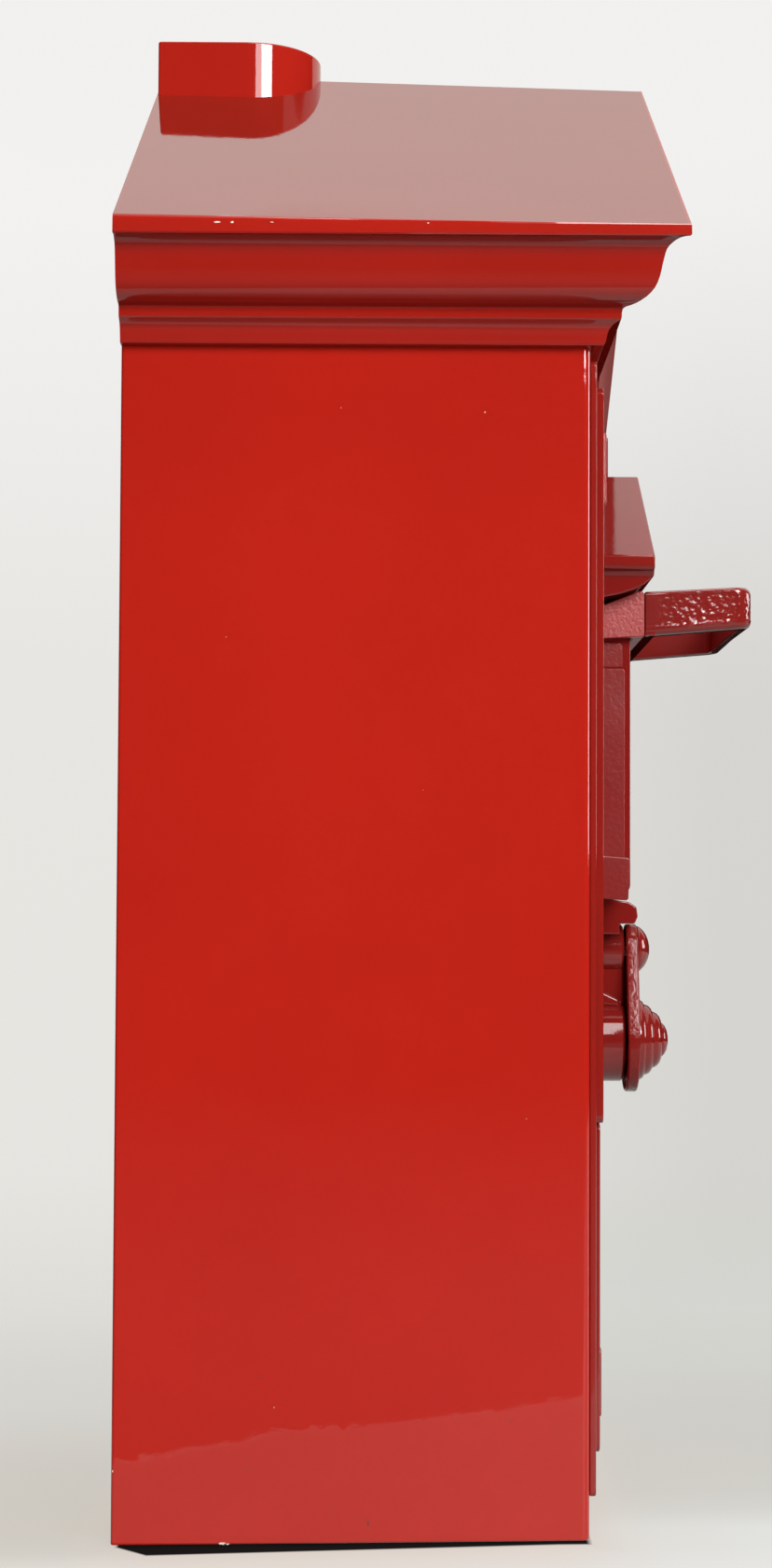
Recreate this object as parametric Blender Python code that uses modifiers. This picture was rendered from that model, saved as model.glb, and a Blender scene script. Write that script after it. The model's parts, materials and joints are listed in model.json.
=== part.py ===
"""Street fire alarm box: cottage-roofed cast case, hinged front door with a hooded pull-down door
and its ring handle, keyhole cover and lock, and the telegraph movement inside an inner case.

Metres, +Z up, front of the box towards -Y. The origin is on the ground, midway between the sides
and midway between the back face and the end of the handle. Sizes below are in millimetres, with Y
measured from the back face (so the front of the case is at a negative Y); at() turns them to metres.
"""
import bpy
import bmesh
import math
from mathutils import Matrix, Vector

# ---- driving dimensions, millimetres -------------------------------------------------------
OVERALL_DEPTH = 194.0        # back face to the end of the handle
HALF_W = 126.5               # half width of the case
DEPTH = 136.2                # back face to the front of the case
EAVE = 26.0                  # overhang of the roof
WALL = 6.0                   # thickness of the casting
ROOF_TAN = 0.5656            # slope of the roof
EAVE_FRONT_Z, EAVE_BACK_Z = 372.2, 374.2
RIDGE_BACK_Z = 462.7
BOSS_R, BOSS_STRAIGHT, BOSS_TOP = 23.85, 29.5, 466.9
CONDUIT_R = 13.4             # hole for a 3/4 inch conduit
DOOR_HALF_W, DOOR_LOW, DOOR_TOP = 124.0, 12.4, 339.5
DOOR_BACK, DOOR_FACE = -136.6, -140.7
OPEN_HALF_W, OPEN_LOW, OPEN_TOP = 110.0, 16.0, 330.0
HINGE_X, HINGE_Y, HINGE_R = 131.0, -140.0, 5.0
HOOD_HALF, HOOD_FRONT, HOOD_RIDGE = 60.0, -161.4, 325.4
PULL_HALF, PULL_BLOCK_HALF = 42.5, 47.0
PULL_AXIS_Y, PULL_AXIS_Z = -149.6, 190.4
HANDLE_HALF, HANDLE_END, HANDLE_WALL, HANDLE_BAR = 45.0, -194.0, 7.0, 3.8
COVER_PIVOT_Z, LOCK_Z = 166.9, 136.6
LOCK_R = 13.8
CRANK_R = 12.0
BARREL = (-14.0, 186.0)      # X and Z of the mainspring barrel
CODE = (4.9, 218.7)          # X and Z of the code wheel arbor
GOVERNOR = (10.2, 248.6)     # X and Z of the governor arbor
GAP = 0.3                    # between pieces that touch

PARTS = "street_fire_alarm_box"

for old in list(bpy.data.objects):
    bpy.data.objects.remove(old, do_unlink=True)
parts = bpy.data.collections.new(PARTS)
tools = bpy.data.collections.new("cutters")
bpy.context.scene.collection.children.link(parts)
bpy.context.scene.collection.children.link(tools)


def at(x, y, z):
    return Vector((x / 1000.0, (y + OVERALL_DEPTH / 2) / 1000.0, z / 1000.0))


def material(name, colour, roughness, metallic):
    mat = bpy.data.materials.new(name)
    mat.use_nodes = True
    shader = mat.node_tree.nodes["Principled BSDF"]
    shader.inputs["Base Color"].default_value = (*colour, 1.0)
    shader.inputs["Roughness"].default_value = roughness
    shader.inputs["Metallic"].default_value = metallic
    mat.diffuse_color = (*colour, 1.0)
    return mat


LOOKS = {
    "red": ((0.52, 0.012, 0.008), 0.12, 0.0),
    "dark_red": ((0.33, 0.012, 0.012), 0.15, 0.0),
    "steel": ((0.55, 0.55, 0.56), 0.3, 1.0),
    "brass": ((0.72, 0.5, 0.2), 0.3, 1.0),
    "iron": ((0.03, 0.03, 0.035), 0.5, 0.2),
    "black": ((0.015, 0.015, 0.015), 0.35, 0.0),
    "copper": ((0.35, 0.1, 0.03), 0.4, 0.6),
    "glass": ((0.85, 0.9, 0.9), 0.05, 0.0),
    "porcelain": ((0.8, 0.78, 0.72), 0.3, 0.0),
    "plate": ((0.75, 0.73, 0.68), 0.35, 0.0),
}


def keep(obj, look=None):
    """Puts an object in the parts collection with a material of its own, or else among the cutters."""
    for coll in list(obj.users_collection):
        coll.objects.unlink(obj)
    if look is None:
        tools.objects.link(obj)
        obj.hide_render = True
        obj.display_type = "WIRE"
        return obj
    parts.objects.link(obj)
    colour, roughness, metallic = LOOKS[look]
    obj.data.materials.clear()
    obj.data.materials.append(material(obj.name, colour, roughness, metallic))
    return obj


def smooth(obj, angle=35.0):
    obj.data.shade_smooth()
    obj.data.set_sharp_from_angle(angle=math.radians(angle))
    return obj


def box(name, lo, hi, look=None, round_mm=0.0):
    low, high = at(*lo), at(*hi)
    bpy.ops.mesh.primitive_cube_add(size=1.0, location=(low + high) / 2)
    obj = bpy.context.active_object
    obj.name = obj.data.name = name
    obj.data.transform(Matrix.Diagonal((*[abs(v) for v in (high - low)], 1.0)))
    keep(obj, look)
    if round_mm:
        rounding(obj, round_mm)
    return obj


def rounding(obj, width_mm, segments=2, angle=40.0):
    bevel = obj.modifiers.new("rounding", "BEVEL")
    bevel.width = width_mm / 1000.0
    bevel.segments = segments
    bevel.limit_method = "ANGLE"
    bevel.angle_limit = math.radians(angle)
    return obj


TURN = {"Z": (0, 0, 0), "Y": (math.pi / 2, 0, 0), "X": (math.pi / 2, 0, math.pi / 2)}


def rod(name, centre, radius, length, axis, look=None, sides=24):
    """A cylinder along an axis, from its middle."""
    turn = (0, math.pi / 2, 0) if axis == "X" else TURN[axis]
    bpy.ops.mesh.primitive_cylinder_add(
        vertices=sides, radius=radius / 1000.0, depth=length / 1000.0, location=at(*centre), rotation=turn)
    obj = bpy.context.active_object
    obj.name = obj.data.name = name
    return smooth(keep(obj, look))


def ball(name, centre, radius, look=None):
    bpy.ops.mesh.primitive_uv_sphere_add(segments=16, ring_count=10, radius=radius / 1000.0, location=at(*centre))
    obj = bpy.context.active_object
    obj.name = obj.data.name = name
    return smooth(keep(obj, look))


def as_mesh(obj, name, look):
    """Turns a curve object into a welded mesh that a Boolean can use."""
    bpy.context.view_layer.update()
    graph = bpy.context.evaluated_depsgraph_get()
    mesh = bpy.data.meshes.new_from_object(obj.evaluated_get(graph))
    made = bpy.data.objects.new(name, mesh)
    made.matrix_world = obj.matrix_world.copy()
    bpy.data.objects.remove(obj, do_unlink=True)
    mesh.name = name
    bm = bmesh.new()
    bm.from_mesh(mesh)
    bmesh.ops.remove_doubles(bm, verts=bm.verts, dist=0.00001)
    bmesh.ops.recalc_face_normals(bm, faces=bm.faces)
    bm.to_mesh(mesh)
    bm.free()
    bpy.context.scene.collection.objects.link(made)
    return keep(made, look)


def plate(name, points, axis, low, high, look=None, holes=()):
    """A flat outline given thickness. Its points are (Y, Z), (X, Z) or (X, Y) for the axis X, Y or Z."""
    curve = bpy.data.curves.new(name + "_outline", "CURVE")
    curve.dimensions = "2D"
    curve.fill_mode = "BOTH"
    curve.extrude = abs(high - low) / 2000.0
    for loop in (points, *holes):
        spline = curve.splines.new("POLY")
        spline.points.add(len(loop) - 1)
        for point, (a, b) in zip(spline.points, loop):
            point.co = (a / 1000.0, b / 1000.0, 0.0, 1.0)
        spline.use_cyclic_u = True
    obj = bpy.data.objects.new(name + "_outline", curve)
    bpy.context.scene.collection.objects.link(obj)
    mid = (low + high) / 2
    place = {"X": (mid, 0, 0), "Y": (0, mid, 0), "Z": (0, 0, mid)}[axis]
    obj.location = at(*place)
    obj.rotation_euler = TURN[axis]
    return as_mesh(obj, name, look)


def lathe(name, profile, centre, axis, look=None, steps=32):
    """Turns (radius, height) points, outer side first from top to bottom, about an axis.
    On the axis Y the height points out of the front of the box."""
    mesh = bpy.data.meshes.new(name)
    mesh.from_pydata([(r / 1000.0, 0, h / 1000.0) for r, h in profile],
                     [(i, (i + 1) % len(profile)) for i in range(len(profile) if profile[0][0] > 0 else len(profile) - 1)], [])
    obj = bpy.data.objects.new(name, mesh)
    bpy.context.scene.collection.objects.link(obj)
    obj.location = at(*centre)
    obj.rotation_euler = TURN[axis]
    screw = obj.modifiers.new("turning", "SCREW")
    screw.axis = "Z"
    screw.steps = screw.render_steps = steps
    screw.use_merge_vertices = True
    screw.merge_threshold = 0.00005
    screw.use_smooth_shade = True
    return keep(obj, look)


def tube(name, points, radius, look=None):
    curve = bpy.data.curves.new(name, "CURVE")
    curve.dimensions = "3D"
    curve.bevel_depth = radius / 1000.0
    curve.bevel_resolution = 2
    curve.use_fill_caps = True
    spline = curve.splines.new("POLY")
    spline.points.add(len(points) - 1)
    start = at(*points[0])
    for point, xyz in zip(spline.points, points):
        point.co = (*(at(*xyz) - start), 1.0)
    obj = bpy.data.objects.new(name, curve)
    obj.location = start
    bpy.context.scene.collection.objects.link(obj)
    return keep(obj, look)


def join(obj, *others):
    for other in others:
        step = obj.modifiers.new("with_" + other.name, "BOOLEAN")
        step.operation = "UNION"
        step.object = other
    return obj


def cut(obj, *others):
    for other in others:
        step = obj.modifiers.new("less_" + other.name, "BOOLEAN")
        step.operation = "DIFFERENCE"
        step.object = other
    return obj


def arc(cx, cy, r, start, end, count):
    return [(cx + r * math.cos(math.radians(start + (end - start) * i / count)),
             cy + r * math.sin(math.radians(start + (end - start) * i / count))) for i in range(count + 1)]


def ring(cx, cy, r, count=24):
    return arc(cx, cy, r, 0, 360, count)[:-1]


def gear(cx, cy, teeth, module, turn=0.0):
    """Outline of a spur gear with simple flanks and backlash. A tooth points along the turn angle."""
    pitch = teeth * module / 2
    out = []
    step = 2 * math.pi / teeth
    for i in range(teeth):
        mid = math.radians(turn) + i * step
        for r, share in ((pitch - 1.15 * module, -0.30), (pitch + 0.85 * module, -0.11),
                         (pitch + 0.85 * module, 0.11), (pitch - 1.15 * module, 0.30)):
            out.append((cx + r * math.cos(mid + share * step), cy + r * math.sin(mid + share * step)))
    return out


# ---- case: the roof, its mouldings and the walls are one casting ----------------------------
def moulding():
    """Upper moulding from the eave down: fascia, cyma, and the return to the wall, as (out, Z)."""
    cyma = [(26.0, EAVE_FRONT_Z), (26.0, 369.2), (23.4, 369.0), (21.5, 368.1), (20.1, 366.8), (19.35, 364.3),
            (18.65, 360.9), (17.7, 357.8), (16.0, 355.25), (13.5, 353.4), (10.7, 352.7), (8.6, 352.3)]
    return cyma + [(0.0, 352.3)]


def roofed_block(name):
    """Half of the case as a loft: the moulding runs along the side, turns the mitred corner and rakes up the gable."""
    bm = bmesh.new()
    rows = []
    for k, (out, z) in enumerate(moulding()):
        back_z = EAVE_BACK_Z if k == 0 else z
        rows.append([bm.verts.new(at(-(HALF_W + out), 0, back_z)),
                     bm.verts.new(at(-(HALF_W + out), -(DEPTH + out), z)),
                     bm.verts.new(at(0, -(DEPTH + out), z + (HALF_W + out) * ROOF_TAN))])
    foot = [bm.verts.new(at(-HALF_W, 0, 0)), bm.verts.new(at(-HALF_W, -DEPTH, 0)), bm.verts.new(at(0, -DEPTH, 0))]
    ridge = bm.verts.new(at(0, 0, RIDGE_BACK_Z))
    heel = bm.verts.new(at(0, 0, 0))
    for a, b in zip(rows, rows[1:]):
        bm.faces.new((a[0], b[0], b[1], a[1]))
        bm.faces.new((a[1], b[1], b[2], a[2]))
    last = rows[-1]
    bm.faces.new((last[0], foot[0], foot[1], last[1]))
    bm.faces.new((last[1], foot[1], foot[2], last[2]))
    bm.faces.new((rows[0][0], rows[0][1], rows[0][2]))
    bm.faces.new((rows[0][0], rows[0][2], ridge))
    bm.faces.new([r[0] for r in reversed(rows)] + [ridge, heel, foot[0]])
    bm.faces.new((foot[0], heel, foot[2], foot[1]))
    bmesh.ops.recalc_face_normals(bm, faces=bm.faces)
    mesh = bpy.data.meshes.new(name)
    bm.to_mesh(mesh)
    bm.free()
    obj = bpy.data.objects.new(name, mesh)
    bpy.context.scene.collection.objects.link(obj)
    mirror = obj.modifiers.new("other_half", "MIRROR")
    mirror.use_axis = (True, False, False)
    mirror.merge_threshold = 0.00005
    return obj


def bed_mould(name):
    """The level moulding under the cornice, on both sides and across the front."""
    profile = [(-3.0, 353.0), (8.3, 353.0), (8.3, 349.4), (6.05, 348.3), (4.6, 346.3), (3.8, 343.2), (-3.0, 343.2)]
    bm = bmesh.new()
    rows = [[bm.verts.new(at(-(HALF_W + o), -0.0, z)), bm.verts.new(at(-(HALF_W + o), -(DEPTH + o), z)),
             bm.verts.new(at(0, -(DEPTH + o), z))] for o, z in profile]
    for a, b in zip(rows, rows[1:] + rows[:1]):
        bm.faces.new((a[0], b[0], b[1], a[1]))
        bm.faces.new((a[1], b[1], b[2], a[2]))
    bm.faces.new([r[0] for r in rows])
    bmesh.ops.recalc_face_normals(bm, faces=bm.faces)
    mesh = bpy.data.meshes.new(name)
    bm.to_mesh(mesh)
    bm.free()
    obj = bpy.data.objects.new(name, mesh)
    bpy.context.scene.collection.objects.link(obj)
    mirror = obj.modifiers.new("other_half", "MIRROR")
    mirror.use_axis = (True, False, False)
    mirror.merge_threshold = 0.00005
    return keep(obj)


case = keep(roofed_block("case_shell"), "red")
boss_outline = [(-BOSS_R, -0.0), (-BOSS_R, -BOSS_STRAIGHT)] + \
    arc(0, -BOSS_STRAIGHT, BOSS_R, 180, 360, 16)[1:-1] + [(BOSS_R, -BOSS_STRAIGHT), (BOSS_R, -0.0)]
join(case, bed_mould("bed_mould"), plate("conduit_boss", boss_outline, "Z", 430.0, BOSS_TOP))
hollow = [(-HALF_W + WALL, WALL), (HALF_W - WALL, WALL), (HALF_W - WALL, 381.0), (0, 449.0), (-HALF_W + WALL, 381.0)]
cut(case,
    plate("case_hollow", hollow, "Y", -WALL, -(DEPTH - WALL)),
    box("door_opening", (-OPEN_HALF_W, -140, OPEN_LOW), (OPEN_HALF_W, -120, OPEN_TOP)),
    rod("conduit_bore", (0, -26.0, 440), CONDUIT_R, 80, "Z"))
for i, (x, z) in enumerate(((-100, 30), (100, 30), (-100, 340), (100, 340))):
    cut(case, rod("wall_bolt_hole_%d" % i, (x, -3, z), 4.5, 20, "Y", sides=16))

# knuckles of the door's two hinges: the case holds the outer ones
HINGES = {"lower": 56.0, "upper": 300.0}
for name, z in HINGES.items():
    for side, dz in (("a", -14.5), ("b", 14.5)):
        join(case, box("case_leaf_%s_%s" % (name, side), (121.5, -136.0, z + dz - 7), (133, -125, z + dz + 7)),
             rod("case_knuckle_%s_%s" % (name, side), (HINGE_X, HINGE_Y, z + dz), HINGE_R, 14, "Z", sides=20))
for name, z in HINGES.items():
    cut(case, rod("case_knuckle_bore_" + name, (HINGE_X, HINGE_Y, z), 2.6, 60, "Z", sides=16),
        box("door_leaf_room_" + name, (110, -146, z - 7.4), (141, -136.2, z + 7.4)))
    rod("door_hinge_pin_" + name, (HINGE_X, HINGE_Y, z), 2.2, 48, "Z", "dark_red", 16)

# ---- front door ---------------------------------------------------------------------------
door = box("front_door", (-DOOR_HALF_W, DOOR_BACK, DOOR_LOW), (DOOR_HALF_W, DOOR_FACE + 2.5, DOOR_TOP), "red")
border = box("door_border", (-118, DOOR_BACK - 1, 118), (118, DOOR_FACE, 333))
panel = box("door_panel", (-110, DOOR_BACK - 0.8, 22), (110, DOOR_FACE + 0.3, 117.5))
join(door, border, panel)
cut(door, box("border_recess", (-106, -139.9, 186), (106, -145, 276)))
hood_top = HOOD_RIDGE - HOOD_HALF * ROOF_TAN
hood = plate("hood_roof", [(0, HOOD_RIDGE), (HOOD_HALF, hood_top), (HOOD_HALF, hood_top - 4.2), (56, hood_top - 6.5),
                           (-56, hood_top - 6.5), (-HOOD_HALF, hood_top - 4.2), (-HOOD_HALF, hood_top)], "Y", -138.0, HOOD_FRONT)
brackets = plate("hood_bracket", [(-138.0, 277.7), (-157.6, 282.4), (-160.9, 284.6), (-160.9, 287.0), (-138.0, 287.0)], "X", -56.0, 56.0)
join(door, hood, brackets,
     box("title_tablet", (-98, -138, 301), (98, -143.1, 323.5)))
# the guard over the keyhole cover, its pivot boss, the rib and the lock barrel
guard = plate("guard", [(-139, 184.4), (-150, 183.4), (-156.5, 182.5), (-158.7, 180.8), (-159.2, 177.5), (-158.3, 175.8), (-153.5, 175.8),
                        (-153.5, 172.0), (-139, 172.0)], "X", -22, 22)
join(door, guard, rod("pivot_boss", (0, -147.7, COVER_PIVOT_Z), 8.4, 17.0, "Y", sides=24),
     box("rib", (-5, -155.9, 143), (5, -139, 166)),
     rod("lock_barrel", (0, -147.6, LOCK_Z), LOCK_R, 17.0, "Y", sides=32),
     lathe("medallion", [(0, 1.6), (16, 1.6), (24, 1.2), (26, 1.6), (28, 1.2), (29, 0.3), (29, -2), (0, -2)], (0, DOOR_FACE, 90), "Y", steps=40),
     box("lower_tablet", (-70, -139, 23.6), (70, -143.9, 46.2)))
for side in (-1, 1):
    join(door, box("pull_lug_%d" % side, (side * 43.3, -139, 182.6), (side * 49.0, -154.6, 196.5)))
for name, z in HINGES.items():
    join(door, box("door_leaf_" + name, (118, -140.2, z - 7), (130, DOOR_BACK, z + 7)),
         rod("door_knuckle_" + name, (HINGE_X, HINGE_Y, z), HINGE_R, 14, "Z", sides=20))
    cut(door, rod("door_knuckle_bore_" + name, (HINGE_X, HINGE_Y, z), 2.6, 30, "Z", sides=16))
cut(door, box("pull_opening", (-44.0, -130, 183.9), (44.0, -142.0, 277.0)),
    rod("lock_bore", (0, -145, LOCK_Z), 7.0, 40, "Y", sides=24),
    rod("rivet_bore", (0, -145, COVER_PIVOT_Z), 2.6, 40, "Y", sides=16),
    rod("pull_pin_bore", (0, PULL_AXIS_Y, PULL_AXIS_Z), 2.3, 120, "X", sides=16))

# ---- pull-down door and ring handle, hinged at the door's lower edge ---------------------------
side_view = [(-138.0, 184.9), (-152.1, 184.9)] + arc(-152.1, 187.9, 3.0, 270, 180, 4)[1:] + \
    [(-155.1, 266.8), (-159.2, 267.4), (-159.2, 282.0), (-158.6, 282.4), (-141.4, 276.9), (-138.0, 276.0)]
pull = plate("pull_down_door", side_view, "X", -PULL_HALF, PULL_HALF, "dark_red")
block = plate("pull_block", [(-141.5, 266.2), (-159.2, 267.4), (-159.2, 282.1), (-158.6, 282.4), (-141.5, 277.0)],
              "X", -PULL_BLOCK_HALF, PULL_BLOCK_HALF)
join(pull, block)
cut(pull, box("pull_hollow", (-38.5, -130, 198.0), (38.5, -151.0, 262.0)),
    rod("pull_bore", (0, PULL_AXIS_Y, PULL_AXIS_Z), 2.3, 120, "X", sides=16),
    box("pull_spring_room", (-10, -130, 184), (10, -153.6, 199)))
rod("pull_door_pin", (0, PULL_AXIS_Y, PULL_AXIS_Z), 1.9, 97.0, "X", "steel", 16)
coil = []
for i in range(7 * 12 + 1):
    a = 2 * math.pi * i / 12
    coil.append((-8.0 + 16.0 * i / 84, PULL_AXIS_Y + 3.0 * math.cos(a), PULL_AXIS_Z + 3.0 * math.sin(a)))
tube("pull_door_spring", coil, 0.45, "steel")
ring_outer = [(-HANDLE_HALF, -159.5), (-HANDLE_HALF, HANDLE_END + 5.0)] + \
    arc(-HANDLE_HALF + 5.0, HANDLE_END + 5.0, 5.0, 180, 270, 4)[1:] + arc(HANDLE_HALF - 5.0, HANDLE_END + 5.0, 5.0, 270, 360, 4) + [(HANDLE_HALF, -159.5)]
inner_x, inner_y = HANDLE_HALF - HANDLE_WALL, HANDLE_END + HANDLE_BAR
ring_inner = [(-inner_x, -163.2), (-inner_x, inner_y + 2.5), (-inner_x + 2.5, inner_y), (inner_x - 2.5, inner_y), (inner_x, inner_y + 2.5), (inner_x, -163.2)]
handle = plate("pull_handle", ring_outer, "Z", 267.6, 281.8, "dark_red", holes=(ring_inner,))
for v in handle.data.vertices:      # the ring tips up a little towards its end, its underside more than its top
    forward = -v.co.y - 0.1595
    v.co.z += forward * (0.054 if v.co.z > 0 else 0.083)
rounding(handle, 0.9, 2)
finger = plate("trip_finger", [(-150.7, 200.0), (-131.0, 200.0), (-118.0, 190.0), (-118.0, 186.5), (-133.0, 190.5), (-137.0, 198.5), (-150.7, 198.5)],
               "X", -4.0, 4.0, "brass")

# ---- keyhole cover, hanging on its rivet ---------------------------------------------------------
reach = COVER_PIVOT_Z - LOCK_Z
tilt = math.degrees(math.asin((17.3 - 8.3) / reach))
cover_outline = arc(0, LOCK_Z, 17.3, 180 - tilt, 360 + tilt, 24) + arc(0, COVER_PIVOT_Z, 8.3, tilt, 180 - tilt, 12)
cover = plate("keyhole_cover", cover_outline, "Y", -156.8, -160.8, "dark_red")
join(cover, lathe("cover_steps", [(0, 11.1), (2.2, 10.9), (3.9, 10.0), (4.8, 8.8), (6.3, 8.5), (7.6, 7.2), (8.5, 6.2), (10.0, 5.8), (10.8, 4.2),
                                  (11.2, 3.0), (12.6, 2.6), (13.2, 1.2), (13.5, -0.5), (0, -0.5)], (0, -160.6, LOCK_Z), "Y"))
cut(cover, rod("cover_bore", (0, -158.5, COVER_PIVOT_Z), 2.8, 12, "Y", sides=16),
    rod("cover_dish", (0, -156.0, LOCK_Z), 9.0, 6, "Y", sides=24))
lathe("cover_rivet", [(0, 3.9), (3.0, 3.5), (5.6, 2.3), (7.2, 0.8), (7.6, 0.0), (2.2, 0.0), (2.2, -28.0), (0, -28.0)],
      (0, -161.2, COVER_PIVOT_Z), "Y", "dark_red", 24)

# ---- lock: plug, crank and bolt -----------------------------------------------------------------
plug = rod("lock_plug", (0, -143.1, LOCK_Z), 6.6, 25.0, "Y", "brass")
cut(plug, rod("key_hole", (0, -153, LOCK_Z), 1.8, 12, "Y", sides=12), box("key_slot", (-0.8, -147, LOCK_Z - 5), (0.8, -157, LOCK_Z)))
crank_angle = math.radians(45.0)
pin_x, pin_z = CRANK_R * math.cos(crank_angle), LOCK_Z + CRANK_R * math.sin(crank_angle)
cam = rod("lock_cam", (0, -125.4, LOCK_Z), 15.5, 3.0, "Y", "steel", 32)
join(cam, rod("crank_pin", (pin_x, -128.4, pin_z), 1.8, 4.0, "Y", sides=16), rod("cam_shaft", (0, -128.2, LOCK_Z), 3.0, 4.2, "Y", sides=16))
bar_low, bar_high = LOCK_Z + 4.0, LOCK_Z + 17.0
plate("lock_bolt", [(-101.5, bar_low), (pin_x + 7, bar_low), (pin_x + 7, bar_high), (-101.5, bar_high)], "Y", -127.4, -129.7, "steel",
      holes=([(pin_x - 2.4, LOCK_Z + 6.0), (pin_x + 2.4, LOCK_Z + 6.0), (pin_x + 2.4, LOCK_Z + 14.6), (pin_x - 2.4, LOCK_Z + 14.6)],))
for name, x in (("inner", -26.0), ("outer", -92.0)):
    plate("bolt_guide_" + name, [(-136.3, LOCK_Z + 0.7), (-125.0, LOCK_Z + 0.7), (-125.0, LOCK_Z + 20.3), (-136.3, LOCK_Z + 20.3)],
          "X", x - 4, x + 4, "steel",
          holes=([(-127.0, LOCK_Z + 3.6), (-130.1, LOCK_Z + 3.6), (-130.1, LOCK_Z + 17.4), (-127.0, LOCK_Z + 17.4)],))

# ---- inner case with its glazed cover, screwed to the back of the case -------------------------
INNER_HALF, INNER_LOW, INNER_TOP, INNER_FRONT = 88.0, 60.0, 304.0, -100.0
inner = box("inner_case", (-INNER_HALF, -6.4, INNER_LOW), (INNER_HALF, INNER_FRONT, INNER_TOP), "iron")
cut(inner, box("inner_hollow", (-INNER_HALF + 3, -9.4, INNER_LOW + 3), (INNER_HALF - 3, -105, INNER_TOP - 3)),
    rod("wire_hole", (-60, -24, INNER_LOW), 6.5, 12, "Z"), rod("wire_hole_b", (-36, -24, INNER_LOW), 6.5, 12, "Z"))
for i, (x, z) in enumerate(((-78, 72), (78, 72), (-78, 292), (78, 292))):
    cut(inner, rod("case_screw_hole_%d" % i, (x, -8, z), 2.6, 12, "Y", sides=16))
    cut(case, rod("case_thread_%d" % i, (x, -3, z), 2.6, 8, "Y", sides=16))
    lathe("case_screw_%d" % (i + 1), [(0, 3.0), (3.0, 2.7), (4.4, 1.6), (4.8, 0.3), (2.2, 0.3), (2.2, -8.5), (0, -8.5)],
          (x, -9.5, z), "Y", "steel", 16)
cover_plate = box("inner_door", (-90, -100.4, 58), (90, -103.4, 306), "iron")
cut(cover_plate, box("window_opening", (-42, -95, 180), (42, -110, 272)),
    rod("lever_hole", (17, -102, 150), 4.0, 20, "Y", sides=16))
cut(cover_plate, box("window_rebate", (-46, -95, 176), (46, -102.0, 276)))
window = box("window_glass", (-45.6, -99.6, 176.4), (45.6, -101.6, 275.6), "glass")
rod("inner_door_hinge_pin", (93.5, -102, 182), 2.5, 246, "Z", "steel", 16)
latch = rod("inner_door_latch", (-80, -107.2, 182), 6.0, 7.0, "Y", "brass", 20)
join(latch, box("latch_wing", (-81.5, -107, 174), (-78.5, -118, 190)))

# ---- starting lever on the cover, with its bracket and pin ---------------------------------------
bracket = box("lever_bracket", (8, -103.7, 196), (26, -106.9, 214), "brass")
for x in (9.5, 24.5):
    join(bracket, plate("bracket_ear_%d" % x, [(-106, 196), (-116, 199), (-116, 211), (-106, 214)], "X", x - 1.5, x + 1.5))
cut(bracket, rod("lever_pin_bore", (17, -112, 205), 2.3, 30, "X", sides=16))
rod("lever_pivot", (17, -112, 205), 1.9, 21, "X", "steel", 16)
lever_view = arc(-112, 205, 4.6, -20, 200, 10) + [(-118.0, 196), (-127.5, 178), (-128.5, 170), (-124.0, 164), (-119.0, 165), (-119.0, 168), (-123.0, 169),
                                              (-124.5, 172), (-123.5, 178), (-112.0, 199.5)]
lever = plate("starting_lever", lever_view, "X", 14.0, 20.0, "brass")
cut(lever, rod("lever_bore", (17, -112, 205), 2.3, 30, "X", sides=16))

# ---- clockwork movement ---------------------------------------------------------------------------
BACK_Y, FRONT_Y = -22.0, -62.0      # facing sides of the two plates
for name, y0, y1 in (("movement_back_plate", BACK_Y, -20.0), ("movement_front_plate", FRONT_Y, -64.0)):
    p = box(name, (-52, y0, 150), (56, y1, 290), "brass")
    if y0 == BACK_Y:
        for x in (-40, 44):
            join(p, box("movement_foot_%d" % x, (x - 6, -9.8, 200), (x + 6, -21.0, 240)))
    for i, (x, z) in enumerate((BARREL, CODE, GOVERNOR)):
        cut(p, rod("%s_pivot_%d" % (name, i), (x, (y0 + y1) / 2, z), 2.5 if i else 3.5, 8, "Y", sides=16))
for i, (x, z) in enumerate(((-46, 156), (50, 156), (-46, 284), (50, 284))):
    rod("movement_pillar_%d" % (i + 1), (x, -42, z), 3.5, 39.4, "Y", "brass", 16)
rod("winding_arbor", (BARREL[0], -46.0, BARREL[1]), 3.0, 58.0, "Y", "steel", 16)
barrel = lathe("mainspring_barrel", [(3.4, -42.2), (26.0, -42.2), (26.0, -26.0), (24.6, -26.0), (24.6, -40.8), (6.0, -40.8), (6.0, -26.0), (3.4, -26.0)][::-1] and
               [(3.4, 45.0), (27.5, 45.0), (27.5, 42.0), (26.0, 42.0), (26.0, 26.0), (24.6, 26.0), (24.6, 40.6), (6.0, 40.6), (6.0, 26.0), (3.4, 26.0)],
               (BARREL[0], 0, BARREL[1]), "Y", "brass", 32)
great = plate("great_wheel", gear(*BARREL, 60, 1.0, 60.0), "Y", -42.3, -44.9, holes=(ring(*BARREL, 20),))
join(barrel, great)
spiral, turns, count = [], 5, 100
for i in range(count + 1):
    a, r = 2 * math.pi * turns * i / count, 7.0 + 16.4 * i / count
    spiral.append((BARREL[0] + (r + 0.35) * math.cos(a), BARREL[1] + (r + 0.35) * math.sin(a)))
for i in range(count, -1, -1):
    a, r = 2 * math.pi * turns * i / count, 7.0 + 16.4 * i / count
    spiral.append((BARREL[0] + (r - 0.35) * math.cos(a), BARREL[1] + (r - 0.35) * math.sin(a)))
plate("mainspring", spiral, "Y", -28.0, -40.0, "steel")
# the train: 60 to 15 teeth, then 45 to 15
def bearing_of(a, b):
    return math.degrees(math.atan2(b[1] - a[1], b[0] - a[0]))


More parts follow.
